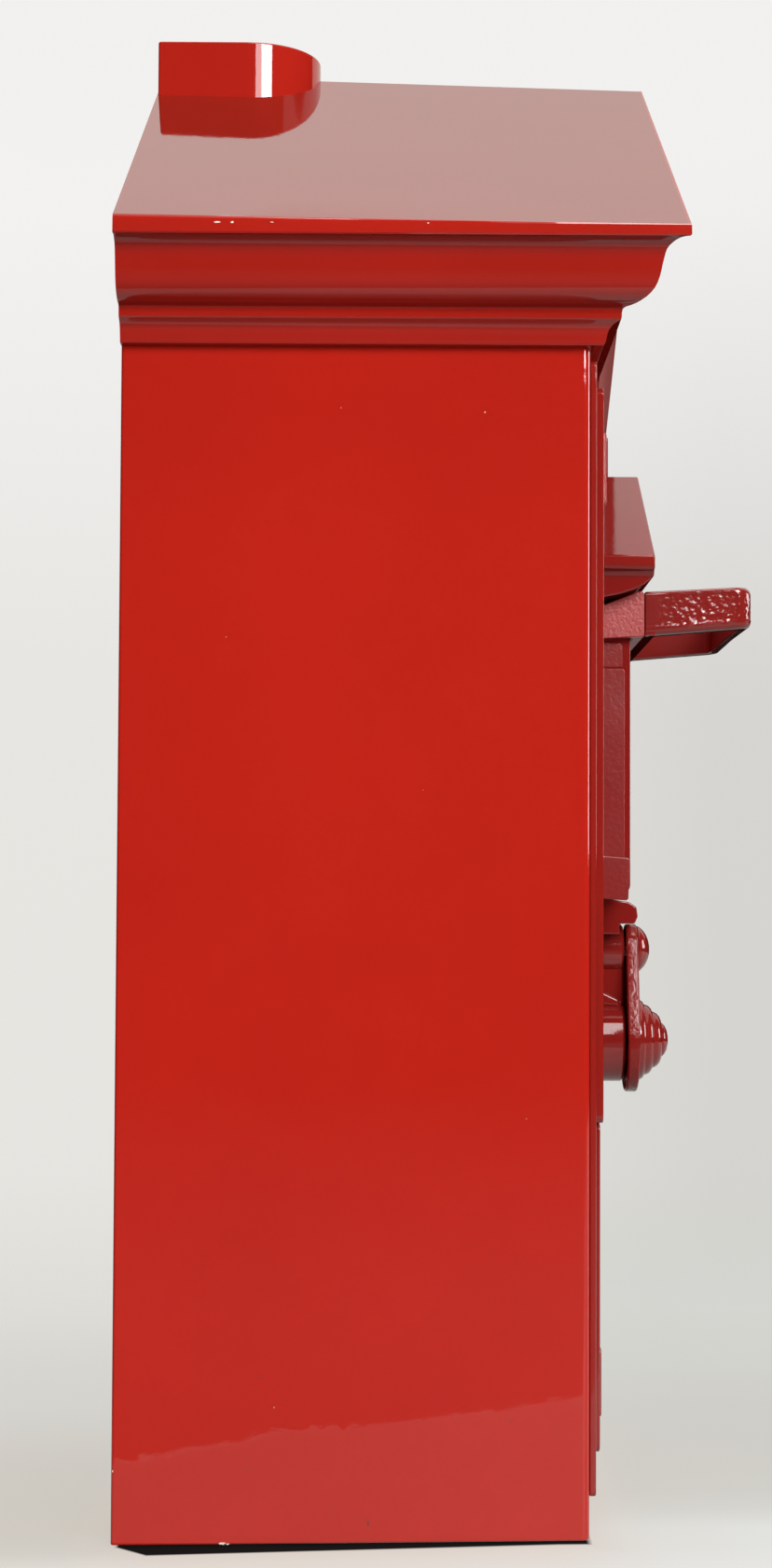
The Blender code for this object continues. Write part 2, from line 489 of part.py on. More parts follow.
to_code, to_gov = bearing_of(BARREL, CODE), bearing_of(CODE, GOVERNOR)
code = rod("code_wheel", (CODE[0], -42.0, CODE[1]), 2.0, 43.6, "Y", "brass", 16)
notched = []
LOBES = (0, 1, 3, 4, 5, 8, 9, 12, 13, 14)
for i in range(20):
    for share, low in ((0.1, False), (0.5, False), (0.55, True), (0.95, True)):
        a = 2 * math.pi * (i + share) / 20
        r = 26.0 if (not low or i not in LOBES) else 23.5
        notched.append((CODE[0] + r * math.cos(a), CODE[1] + r * math.sin(a)))
join(code, plate("code_pinion", gear(*CODE, 15, 1.0, to_code + 180 + 12.0), "Y", -41.6, -45.4),
     plate("code_second_wheel", gear(*CODE, 45, 1.0, to_gov), "Y", -48.0, -50.0),
     plate("code_disc", notched, "Y", -54.0, -55.6))
gov = rod("governor", (GOVERNOR[0], -42.0, GOVERNOR[1]), 2.0, 43.6, "Y", "steel", 16)
join(gov, plate("governor_pinion", gear(*GOVERNOR, 15, 1.0, to_gov + 180 + 12.0), "Y", -47.4, -50.6),
     box("governor_fan", (GOVERNOR[0] - 14, -28, GOVERNOR[1] - 0.6), (GOVERNOR[0] + 14, -40, GOVERNOR[1] + 0.6)))
# contact springs that the code wheel closes, on an insulating block
box("contact_block", (42, -48, 196), (51, -61.7, 232), "black")
box("contact_spring_fixed", (31.6, -53.0, 226.0), (41.7, -57.0, 226.8), "brass")
box("contact_spring_moving", (31.6, -53.0, 218.0), (41.7, -57.0, 218.8), "brass")

# ---- bell: magnet, armature with its hammer, and gong -----------------------------------------------
yoke = box("magnet_yoke", (-66, -28, 70.0), (-16, -44, 75.0), "iron")
join(yoke, box("yoke_foot", (-66, -9.7, 70.0), (-16, -30, 73.5)), box("armature_post", (-12, -30, 70), (-7, -42, 116.6)), box("yoke_bridge", (-20, -30, 70), (-8, -42, 75)))
for name, x in (("left", -54.0), ("right", -30.0)):
    join(yoke, rod("core_" + name, (x, -36, 94.0), 3.5, 41.2, "Z", sides=16))
    lathe("coil_" + name, [(4.0, 112.0), (10.0, 112.0), (10.0, 110.5), (9.2, 110.0), (9.2, 78.0), (10.0, 77.5), (10.0, 76.0), (4.0, 76.0)],
          (x, -36, 0), "Z", "copper", 24)
armature = box("bell_armature", (-64, -30, 117.0), (-6, -42, 119.5), "iron")
join(armature, plate("hammer_arm", [(-10, 117.2), (-6, 117.2), (25.0, 101.0), (25.0, 103.5), (-6, 119.3), (-10, 119.3)], "Y", -35.0, -37.0),
     ball("hammer_head", (24.5, -36, 102.0), 3.5))
gong = lathe("bell_gong", [(2.6, 16.0), (8.0, 15.4), (15.0, 12.2), (20.0, 7.4), (23.2, 0.0), (24.0, -2.0), (22.4, -2.0), (21.4, 0.4), (18.6, 6.2),
                           (14.0, 10.6), (7.6, 13.6), (2.6, 14.2)], (53.5, -34.0, 112.0), "Y", "brass", 32)
lathe("gong_stud", [(0, 20.5), (3.6, 19.6), (4.2, 16.4), (2.2, 16.4), (2.2, 13.5), (3.6, 13.5), (3.6, -23.9), (0, -23.9)], (53.5, -34.0, 112.0), "Y", "steel", 16)

# ---- telegraph key on the cover ---------------------------------------------------------------------
key_base = box("key_base", (-50, -103.8, 70), (-20, -107.0, 124), "black")
for x in (-42.5, -27.5):
    join(key_base, box("key_post_%d" % -x, (x - 1.5, -106.5, 108), (x + 1.5, -117.5, 116)))
cut(key_base, rod("key_pin_bore", (-35, -114, 112), 1.6, 40, "X", sides=12))
key = box("telegraph_key", (-39, -112.2, 74), (-31, -115.8, 120), "brass")
join(key, rod("key_knob", (-35, -119, 81), 6.5, 8, "Y", sides=20), rod("key_trunnion", (-35, -114, 112), 1.2, 18, "X", sides=12))

# ---- line terminals and arrester at the foot of the case -----------------------------------------------
box("terminal_block", (-74, -6.4, 16), (22, -18, 44), "porcelain", 1.0)
for i in range(3):
    x = -62.0 + 24.0 * i
    lathe("binding_post_%d" % (i + 1), [(0, 13.5), (2.0, 13.5), (2.0, 11.0), (4.5, 11.0), (5.0, 7.5), (4.5, 4.0), (3.0, 4.0), (4.0, 2.5), (4.0, 0.3), (0, 0.3)],
          (x, -18.0, 34), "Y", "brass", 16)
box("lightning_arrester", (38, -6.4, 16), (92, -22, 44), "porcelain", 1.5)
for i, (x0, x1) in enumerate(((-62.0, -60.0), (-38.0, -36.0))):
    path = [(x0, -20.4, 38.8), (x0, -20.8, 42.0), (x0, -21.6, 46.0), (x0 + 0.4 * (x1 - x0), -22.6, 51.0), (x1, -23.6, 56.0), (x1, -24.0, 61.0), (x1, -24.3, 65.0), (x1, -24.6, 68.0)]
    tube("lead_wire_%d" % (i + 1), path, 1.1, "black")
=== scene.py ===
"""Looks of the street fire alarm box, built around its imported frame."""
import json
import math

import bpy
import bmesh
from mathutils import Matrix, Vector, noise


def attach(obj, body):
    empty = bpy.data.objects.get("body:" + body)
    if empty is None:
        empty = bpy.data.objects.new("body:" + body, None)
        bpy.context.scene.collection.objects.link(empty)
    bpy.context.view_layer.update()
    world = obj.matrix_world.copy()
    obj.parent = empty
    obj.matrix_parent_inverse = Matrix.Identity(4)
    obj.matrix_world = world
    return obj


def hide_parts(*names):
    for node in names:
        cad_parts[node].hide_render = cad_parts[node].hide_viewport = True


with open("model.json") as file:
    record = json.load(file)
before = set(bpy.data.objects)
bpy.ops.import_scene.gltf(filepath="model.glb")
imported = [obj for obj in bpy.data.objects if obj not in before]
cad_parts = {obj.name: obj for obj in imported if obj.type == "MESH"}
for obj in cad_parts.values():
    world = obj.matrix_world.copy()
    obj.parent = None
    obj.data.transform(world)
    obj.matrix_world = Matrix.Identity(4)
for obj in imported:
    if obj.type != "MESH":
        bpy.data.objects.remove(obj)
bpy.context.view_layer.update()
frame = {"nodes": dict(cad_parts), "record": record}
NODES = frame["nodes"]
SHIFT = 97.0                      # the frame's origin lies 97 mm in front of the back face


def at(x, y, z):
    """Millimetres, Y measured from the back face, to the frame's metres."""
    return Vector((x / 1000.0, (y + SHIFT) / 1000.0, z / 1000.0))


# ------------------------------------------------------------------ camera
def camera():
    data = bpy.data.cameras.new("view")
    data.sensor_width = 36.0
    data.lens = 2800.0 / 1681.0 * 36.0
    data.shift_x = (414.0 - 444.88) / 1681.0
    data.shift_y = (848.23 - 840.5) / 1681.0
    data.clip_start = 0.01
    obj = bpy.data.objects.new("view", data)
    right = Vector((-0.0058228, -0.9999748, 0.0040677))
    up = Vector((-0.0462137, 0.0043325, 0.9989222))
    back = -Vector((0.9989146, -0.0056285, 0.0462378))
    turn = Matrix((right, up, back)).transposed().to_4x4()
    obj.matrix_world = Matrix.Translation(at(-877.118, -81.377, 178.952)) @ turn
    bpy.context.scene.collection.objects.link(obj)
    bpy.context.scene.camera = obj


camera()


# ------------------------------------------------------------------ materials
class Graph:
    """A Principled material with short calls for the nodes it needs."""

    def __init__(self, name, **values):
        self.mat = bpy.data.materials.new(name)
        self.mat.use_nodes = True
        self.tree = self.mat.node_tree
        self.shader = self.tree.nodes["Principled BSDF"]
        self.coords = self.add("ShaderNodeTexCoord").outputs["Object"]
        for key, value in values.items():
            self.set(key.replace("_", " "), value)

    def add(self, kind, **props):
        node = self.tree.nodes.new(kind)
        for key, value in props.items():
            setattr(node, key, value)
        return node

    def link(self, a, b):
        self.tree.links.new(a, b)

    def set(self, socket, value):
        socket = {"Base": "Base Color", "Coat": "Coat Weight"}.get(socket, socket)
        self.put(self.shader.inputs[socket], value)

    def put(self, socket, value):
        if isinstance(value, bpy.types.NodeSocket):
            self.link(value, socket)
        elif hasattr(socket.default_value, "__len__") and len(value) == 3 and len(socket.default_value) == 4:
            socket.default_value = (*value, 1.0)
        else:
            socket.default_value = value

    def noise(self, size_mm, detail=2.0, rough=0.5, stretch=None, offset=0.0, distortion=0.0):
        coords = self.coords
        if stretch or offset:
            mapping = self.add("ShaderNodeMapping")
            mapping.inputs["Scale"].default_value = stretch or (1, 1, 1)
            mapping.inputs["Location"].default_value = (offset, offset * 1.7, offset * 0.6)
            self.link(coords, mapping.inputs["Vector"])
            coords = mapping.outputs["Vector"]
        node = self.add("ShaderNodeTexNoise")
        node.inputs["Scale"].default_value = 1000.0 / size_mm
        node.inputs["Detail"].default_value = detail
        node.inputs["Roughness"].default_value = rough
        node.inputs["Distortion"].default_value = distortion
        self.link(coords, node.inputs["Vector"])
        return node.outputs["Fac"]

    def cells(self, size_mm, out="Distance"):
        node = self.add("ShaderNodeTexVoronoi")
        node.inputs["Scale"].default_value = 1000.0 / size_mm
        self.link(self.coords, node.inputs["Vector"])
        return node.outputs[out]

    def ramp(self, value, low, high, a=0.0, b=1.0):
        node = self.add("ShaderNodeMapRange")
        node.clamp = True
        for key, number in (("From Min", low), ("From Max", high), ("To Min", a), ("To Max", b)):
            node.inputs[key].default_value = number
        self.link(value, node.inputs["Value"])
        return node.outputs["Result"]

    def math(self, op, a, b=0.0):
        node = self.add("ShaderNodeMath", operation=op)
        self.put(node.inputs[0], a)
        self.put(node.inputs[1], b)
        return node.outputs[0]

    def mix(self, factor, a, b):
        node = self.add("ShaderNodeMix", data_type="RGBA")
        self.put(node.inputs[0], factor)
        self.put(node.inputs[6], a)
        self.put(node.inputs[7], b)
        return node.outputs[2]

    def bump(self, height, depth_mm, strength=1.0, after=None):
        node = self.add("ShaderNodeBump")
        node.inputs["Distance"].default_value = depth_mm / 1000.0
        node.inputs["Strength"].default_value = strength
        self.link(height, node.inputs["Height"])
        if after is not None:
            self.link(after, node.inputs["Normal"])
        return node.outputs["Normal"]

    def normal(self, value):
        self.link(value, self.shader.inputs["Normal"])
        return self


def enamel(name, base, deep, rough=0.07, peel=0.01, waves=0.05, lumps=0.0, lump_mm=2.2, wear=0.0, ior=1.52):
    """Gloss enamel over cast metal: slow waves, orange peel, dust nibs and, on small castings, thick lumpy brushwork."""
    g = Graph(name)
    tone = g.ramp(g.noise(70.0, 3.0), 0.3, 0.7)
    colour = g.mix(tone, base, tuple(0.93 * c for c in base))
    fine = g.ramp(g.noise(9.0, 4.0, 0.6, offset=3.0), 0.35, 0.75)
    colour = g.mix(g.math("MULTIPLY", fine, 0.22), colour, deep)
    nibs = g.ramp(g.cells(16.0), 0.0, 0.035, 1.0, 0.0)
    if wear:
        spots = g.ramp(g.noise(2.6, 3.0, 0.6, offset=7.0), 0.74, 0.77)
        colour = g.mix(g.math("MULTIPLY", spots, wear), colour, (0.42, 0.34, 0.31))
    g.set("Base", colour)
    g.set("Roughness", g.ramp(g.noise(24.0, 3.0, offset=1.0), 0.3, 0.7, rough, rough * 1.5 + 0.01))
    g.set("IOR", ior)
    g.set("Coat", 0.0)
    g.set("Coat Roughness", rough * 0.5)
    normal = g.bump(g.noise(46.0, 1.0), waves)
    normal = g.bump(g.noise(2.4, 2.0, offset=2.0), peel, after=normal)
    normal = g.bump(nibs, 0.03, 0.6, after=normal)
    if lumps:
        normal = g.bump(g.noise(lump_mm, 3.0, 0.55, offset=5.0, distortion=0.4), lumps, after=normal)
    return g.normal(normal).mat


def metal(name, base, rough, brush_mm=None, tarnish=None, stretch=None, bump=0.01):
    g = Graph(name)
    colour = g.mix(g.ramp(g.noise(18.0, 4.0, 0.6), 0.35, 0.7), base, tarnish or tuple(0.7 * c for c in base))
    grime = g.ramp(g.noise(5.0, 4.0, 0.65, offset=4.0), 0.6, 0.8)
    colour = g.mix(g.math("MULTIPLY", grime, 0.5), colour, tuple(0.35 * c for c in base))
    g.set("Base", colour)
    g.set("Metallic", 1.0)
    lines = g.noise(brush_mm or 1.2, 2.0, 0.5, stretch=stretch or (1, 1, 14), offset=1.0)
    g.set("Roughness", g.ramp(lines, 0.25, 0.75, rough, rough + 0.18))
    return g.normal(g.bump(lines, bump)).mat


def japan(name, base=(0.014, 0.013, 0.013), rough=0.32):
    g = Graph(name)
    g.set("Base", g.mix(g.ramp(g.noise(12.0, 4.0), 0.35, 0.7), base, tuple(2.2 * c for c in base)))
    g.set("Roughness", g.ramp(g.noise(6.0, 3.0, offset=2.0), 0.3, 0.7, rough, rough + 0.16))
    normal = g.bump(g.noise(1.5, 4.0, 0.6), 0.05)
    return g.normal(normal).mat


def winding(name, base, pitch_mm=0.55):
    """Covered wire wound close on a bobbin that stands upright."""
    g = Graph(name)
    wave = g.add("ShaderNodeTexWave", wave_type="BANDS", bands_direction="Z", wave_profile="SIN")
    wave.inputs["Scale"].default_value = 1000.0 / pitch_mm / 6.2832 * 3.1416 / 10.0 * 3.2
    g.link(g.coords, wave.inputs["Vector"])
    fuzz = g.noise(0.5, 3.0)
    # painted shade: the grooves between the turns, where the bump is low, are darkened to 0.4 of the wire colour
    g.set("Base", g.mix(wave.outputs["Fac"], tuple(0.4 * c for c in base), g.mix(fuzz, base, tuple(1.5 * c for c in base))))
    g.set("Roughness", 0.8)
    return g.normal(g.bump(wave.outputs["Fac"], 0.15)).mat


def glass(name):
    g = Graph(name)
    g.set("Base", (0.93, 0.97, 0.96))
    g.set("Transmission Weight", 1.0)
    g.set("Roughness", g.ramp(g.noise(14.0, 3.0), 0.4, 0.7, 0.01, 0.06))
    g.set("IOR", 1.45)
    return g.normal(g.bump(g.noise(30.0, 1.0), 0.02)).mat


def porcelain(name):
    g = Graph(name)
    crazing = g.ramp(g.cells(5.0), 0.02, 0.05)
    g.set("Base", g.mix(g.ramp(g.noise(15.0, 3.0), 0.35, 0.7), (0.72, 0.68, 0.58), (0.62, 0.57, 0.47)))
    g.set("Roughness", g.ramp(crazing, 0.0, 1.0, 0.16, 0.1))
    g.set("Coat", 0.4)
    return g.normal(g.bump(g.noise(9.0, 2.0), 0.05)).mat


RED = enamel("red_enamel", (0.50, 0.0165, 0.0085), (0.44, 0.013, 0.008), rough=0.022, peel=0.012, waves=0.05, wear=0.0)
# painted shade: a darker copy of the case red, painting shade onto the cornice, bed mould and conduit boss
CORNICE_PAINTED_SHADE = enamel("red_enamel_painted_shade_cornice", (0.415, 0.0155, 0.0085), (0.36, 0.013, 0.008), rough=0.03, peel=0.005, waves=0.06)
# painted shade: a still darker copy of the case red for the roof's upward faces
ROOF_PAINTED_SHADE = enamel("red_enamel_painted_shade_roof", (0.255, 0.0145, 0.0085), (0.22, 0.013, 0.008), rough=0.022, peel=0.004, waves=0.06, lumps=0.010, lump_mm=6.0)
# painted shade: a darker copy of the case red for the front door, for the shade on its edge
DOOR_PAINTED_SHADE = enamel("red_enamel_painted_shade_door", (0.30, 0.0145, 0.0100), (0.24, 0.011, 0.008), rough=0.03, peel=0.008, waves=0.06)
SMALL_RED = enamel("red_enamel_small_castings", (0.255, 0.0135, 0.0105), (0.20, 0.010, 0.009), rough=0.035, waves=0.10, peel=0.012)
LUMPY_RED = enamel("red_enamel_handle", (0.235, 0.0135, 0.0105), (0.18, 0.010, 0.009), rough=0.085, waves=0.05, peel=0.02)
# painted reflection: a paler, pinker copy of the red stands in for the pale sheen the rough casting reflects; its lumps
# and roughness are the casting's own grain
GRAINY_PAINTED_SHEEN = enamel("red_enamel_painted_sheen_rough_casting", (0.42, 0.030, 0.026), (0.26, 0.019, 0.016), rough=0.22, waves=0.06, lumps=0.16, lump_mm=1.1)
# painted light: a slightly paler copy of the small-casting red for the pull door's cheeks and lugs
LEAF_PAINTED_LIGHT = enamel("red_enamel_painted_light_pull_door", (0.275, 0.0150, 0.0120), (0.16, 0.009, 0.008), rough=0.17, waves=0.12, lumps=0.10, lump_mm=1.7, ior=1.5)
HOOD_RED = enamel("red_enamel_hood", (0.27, 0.0150, 0.0110), (0.20, 0.010, 0.008), rough=0.045, waves=0.12, peel=0.012, ior=1.42)
COVER_RED = enamel("red_enamel_cover", (0.255, 0.0135, 0.0105), (0.20, 0.010, 0.009), rough=0.05, waves=0.12, lumps=0.30, lump_mm=2.3, peel=0.015, ior=1.34)
CHIP = japan("pale_primer", (0.52, 0.44, 0.35), 0.55)
NIB = japan("dark_nib", (0.085, 0.012, 0.010), 0.4)
INSIDE_RED = enamel("red_enamel_inside", (0.28, 0.010, 0.008), (0.2, 0.008, 0.007), rough=0.3, lumps=0.08, lump_mm=2.5)
BRASS = metal("lacquered_brass", (0.74, 0.50, 0.19), 0.16, tarnish=(0.55, 0.36, 0.13))
STEEL = metal("ground_steel", (0.52, 0.52, 0.53), 0.2, stretch=(14, 1, 1))
SPRING_STEEL = metal("blued_spring_steel", (0.16, 0.18, 0.24), 0.18, tarnish=(0.2, 0.17, 0.2))
JAPAN = japan("black_japan")
EBONITE = japan("hard_rubber", (0.012, 0.011, 0.010), 0.42)
COIL = winding("cotton_covered_wire", (0.05, 0.17, 0.07))
GLASS = glass("window_glass")
PORCELAIN = porcelain("glazed_porcelain")
LEAD = winding("braided_lead", (0.09, 0.05, 0.03), 0.8)

FINISH = {
    "lock_plug": BRASS, "trip_finger": BRASS, "inner_door_latch": BRASS, "lever_bracket": BRASS, "starting_lever": BRASS,
    "inner_case": JAPAN, "inner_door": JAPAN, "magnet_yoke": JAPAN, "bell_armature": JAPAN, "contact_block": EBONITE,
    "key_base": EBONITE, "telegraph_key": BRASS, "coil_left": COIL, "coil_right": COIL, "window_glass": GLASS,
    "terminal_block": PORCELAIN, "lightning_arrester": PORCELAIN, "lead_wire_1": LEAD, "lead_wire_2": LEAD,
    "mainspring": SPRING_STEEL, "pull_door_spring": SPRING_STEEL, "governor": STEEL,
    "door_hinge_pin_lower": SMALL_RED, "door_hinge_pin_upper": SMALL_RED,
    "case_shell": RED, "front_door": RED, "pull_down_door": SMALL_RED, "pull_handle": LUMPY_RED,
    "keyhole_cover": SMALL_RED, "cover_rivet": SMALL_RED,
}
SLOT_OF = {"steel": STEEL, "brass": BRASS, "black_iron": JAPAN, "ebonite": EBONITE}
slot_names = {p["node"]: p["material_slot"] for p in frame["record"]["subparts"]}
for node, obj in NODES.items():
    obj.data.materials.clear()
    obj.data.materials.append(FINISH.get(node) or SLOT_OF.get(slot_names.get(node), STEEL))
    obj.data.shade_smooth()
    obj.data.set_sharp_from_angle(angle=math.radians(32))


# ------------------------------------------------------------------ making shapes
def place(obj, look, body, *nodes):
    """Gives a finished piece its material and its body, and hides the CAD nodes that it stands for."""
    obj.data.materials.clear()
    obj.data.materials.append(look)
    if obj.type == "MESH":
        step = obj.modifiers.new("even_normals", "WEIGHTED_NORMAL")
        step.keep_sharp = True
        step.weight = 80
    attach(obj, body)
    if nodes:
        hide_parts(*nodes)
    return obj


def new_object(name, mesh):
    obj = bpy.data.objects.new(name, mesh)
    bpy.context.scene.collection.objects.link(obj)
    return obj


def from_bm(name, bm, soft=30.0):
    bmesh.ops.recalc_face_normals(bm, faces=bm.faces)
    mesh = bpy.data.meshes.new(name)
    bm.to_mesh(mesh)
    bm.free()
    obj = new_object(name, mesh)
    if soft:
        mesh.shade_smooth()
        mesh.set_sharp_from_angle(angle=math.radians(soft))
    return obj


def settle(obj, soft=30.0):
    """Applies every modifier and drops the tools."""
    bpy.context.view_layer.update()
    graph = bpy.context.evaluated_depsgraph_get()
    mesh = bpy.data.meshes.new_from_object(obj.evaluated_get(graph))
    used = [m.object for m in obj.modifiers if m.type == "BOOLEAN"]
    obj.modifiers.clear()
    obj.data = mesh
    mesh.name = obj.name
    for tool in used:
        if tool:
            bpy.data.objects.remove(tool, do_unlink=True)
    if soft:
        mesh.shade_smooth()
        mesh.set_sharp_from_angle(angle=math.radians(soft))
    return obj


def boolean(obj, op, *tools):
    for tool in tools:
        step = obj.modifiers.new(tool.name, "BOOLEAN")
        step.operation = op
        step.object = tool
    return settle(obj)


def bevel(obj, width, segments=3, angle=35.0, done=True):
    step = obj.modifiers.new("rounding", "BEVEL")
    step.width = width / 1000.0
    step.segments = segments
    step.limit_method = "ANGLE"
    step.angle_limit = math.radians(angle)
    step.harden_normals = False
    return settle(obj) if done else obj


def block(name, lo, hi, round_mm=0.0, segments=3):
    low, high = at(*lo), at(*hi)
    bm = bmesh.new()
    bmesh.ops.create_cube(bm, size=1.0)
    size = [abs(a - b) for a, b in zip(low, high)]
    for v in bm.verts:
        v.co = Vector([v.co[i] * size[i] for i in range(3)]) + (low + high) / 2
    obj = from_bm(name, bm)
    return bevel(obj, round_mm, segments) if round_mm else obj


def prism(name, points, axis, low, high, round_mm=0.0, segments=3, soft=30.0, angle=35.0):
    """An outline in (Y, Z), (X, Z) or (X, Y) for the axis X, Y or Z, given thickness between two planes."""
    bm = bmesh.new()
    rings = []
    for level in (low, high):
        ring = []
        for a, b in points:
            xyz = {"X": (level, a, b), "Y": (a, level, b), "Z": (a, b, level)}[axis]
            ring.append(bm.verts.new(at(*xyz)))
        rings.append(ring)
    bm.faces.new(rings[0])
    bm.faces.new(list(reversed(rings[1])))
    count = len(points)
    for i in range(count):
        j = (i + 1) % count
        bm.faces.new((rings[0][j], rings[0][i], rings[1][i], rings[1][j]))
    obj = from_bm(name, bm, soft)
    return bevel(obj, round_mm, segments, angle) if round_mm else obj


def turned(name, profile, centre, axis="Y", steps=64, soft=30.0, flip=True):
    """Turns (radius, height) points about an axis. On the axis Y the height points out of the front."""
    bm = bmesh.new()
    rows = []
    for r, h in profile:
        row = []
        for k in range(1 if r < 1e-6 else steps):
            a = 2 * math.pi * k / steps
            if axis == "Y":
                xyz = (centre[0] + r * math.cos(a), centre[1] - h, centre[2] + r * math.sin(a))
            elif axis == "Z":
                xyz = (centre[0] + r * math.cos(a), centre[1] + r * math.sin(a), centre[2] + h)
            else:
                xyz = (centre[0] + h, centre[1] + r * math.cos(a), centre[2] + r * math.sin(a))
            row.append(bm.verts.new(at(*xyz)))
        rows.append(row)
    closed = profile[0][0] > 1e-6 and profile[-1][0] > 1e-6
    pairs = list(zip(rows, rows[1:])) + ([(rows[-1], rows[0])] if closed else [])
    for a, b in pairs:
        for k in range(steps):
            n = (k + 1) % steps
            if len(a) == 1 and len(b) == 1:
                continue
            if len(a) == 1:
                bm.faces.new((a[0], b[k], b[n]))
            elif len(b) == 1:
                bm.faces.new((a[k], b[0], a[n]))
            else:
                bm.faces.new((a[k], b[k], b[n], a[n]))
    return from_bm(name, bm, soft)


def pin(name, centre, r, length, axis, chamfer=0.3, steps=40):
    h = length / 2
    return turned(name, [(0, h), (r - chamfer, h), (r, h - chamfer), (r, -h + chamfer), (r - chamfer, -h), (0, -h)], centre, axis, steps)


def arc(cx, cy, r, start, end, count):
    return [(cx + r * math.cos(math.radians(start + (end - start) * i / count)),
             cy + r * math.sin(math.radians(start + (end - start) * i / count))) for i in range(count + 1)]


def rounded(points, radius, steps=5):
    """Rounds each corner of a closed outline, or of those whose radius is given."""
    out = []
    n = len(points)
    for i, p in enumerate(points):
        r = radius[i] if isinstance(radius, (list, tuple)) else radius
        a, b, c = Vector(points[i - 1]), Vector(p), Vector(points[(i + 1) % n])
        u, v = (a - b).normalized(), (c - b).normalized()
        half = math.acos(max(-1.0, min(1.0, u.dot(v)))) / 2
        if r <= 0 or half > 1.5 or half < 0.05:
            out.append(tuple(b))
            continue
        reach = min(r / math.tan(half), 0.49 * (a - b).length, 0.49 * (c - b).length)
        r = reach * math.tan(half)
        centre = b + (u + v).normalized() * (r / math.sin(half))
        start, end = b + u * reach - centre, b + v * reach - centre
        a0, a1 = math.atan2(start.y, start.x), math.atan2(end.y, end.x)
        while a1 - a0 > math.pi:
            a1 -= 2 * math.pi
        while a1 - a0 < -math.pi:
            a1 += 2 * math.pi
        out += [(centre.x + r * math.cos(a0 + (a1 - a0) * k / steps), centre.y + r * math.sin(a0 + (a1 - a0) * k / steps)) for k in range(steps + 1)]
    return out


# ------------------------------------------------------------------ case: walls
HALF_W, DEPTH, TAN = 126.5, 136.2, 0.5656
plan = rounded([(-HALF_W, 0), (-HALF_W, -DEPTH), (HALF_W, -DEPTH), (HALF_W, 0)], [0.9, 2.1, 2.1, 0.9], 8)
walls = prism("case_walls", plan, "Z", 0.0, 352.0, 0.6, 3, angle=50.0)
boolean(walls, "DIFFERENCE",
        block("walls_hollow", (-120.5, -6, 6), (120.5, -130.2, 420), 2.0),
        prism("walls_opening", rounded([(-110, 16), (110, 16), (110, 330), (-110, 330)], 7.0, 6), "Y", -120, -145),
        *[pin("bolt_%d_%d" % (x, z), (x, -3, z), 4.5, 30, "Y") for x in (-100, 100) for z in (30, 340)],
        *[pin("thread_%d_%d" % (x, z), (x, -3, z), 2.6, 20, "Y") for x in (-78, 78) for z in (72, 292)])
for vertex in walls.data.vertices:
    # the cast bottom edge dips towards the wall side
    if vertex.co.z < 0.012:
        reach = max(0.0, min(1.0, (SHIFT / 1000.0 - vertex.co.y) / 0.136))
        vertex.co.z += (-0.0010 + 0.0017 * reach) * (1.0 - vertex.co.z / 0.012)
place(walls, RED, "case", "case_shell")


# ------------------------------------------------------------------ case: roof and cornice
CORNICE = [(25.7, 372.35), (26.2, 372.2), (26.45, 371.9), (26.5, 369.3), (26.15, 368.9), (24.6, 369.1), (23.4, 369.0), (22.3, 368.6),
           (21.5, 368.1), (20.7, 367.5), (20.1, 366.7), (19.7, 365.6), (19.35, 364.2), (19.0, 362.7), (18.65, 360.95), (18.25, 359.3),
           (17.7, 357.75), (17.0, 356.4), (16.0, 355.25), (14.8, 354.3), (13.5, 353.6), (12.1, 353.05), (10.7, 352.75), (9.4, 352.6),
           (8.75, 352.35), (8.45, 351.9), (8.35, 351.2)]
BED = [(8.3, 350.2), (8.2, 349.5), (7.6, 348.95), (6.2, 348.4), (5.2, 347.45), (4.6, 346.3), (4.3, 345.0), (4.05, 343.8), (3.8, 343.1),
       (3.5, 342.7), (3.0, 342.6)]
CUTS = 10


def run(out, z, back_rise=0.0, rake=False):
    """Points of one moulding line: along the left side, round the mitre, over the front and back along the right side."""
    x, y = HALF_W + out, -(DEPTH + out)
    left = [(-x, y * i / CUTS, z + back_rise * (1 - i / CUTS)) for i in range(CUTS)]
    front = []
    for i in range(CUTS + 1):
        px = -x * (1 - i / CUTS)
        front.append((px, y, z + ((x + px) * TAN if rake else 0.0)))
    half = left + front
    return half + [(-px, py, pz) for px, py, pz in reversed(half[:-1])]


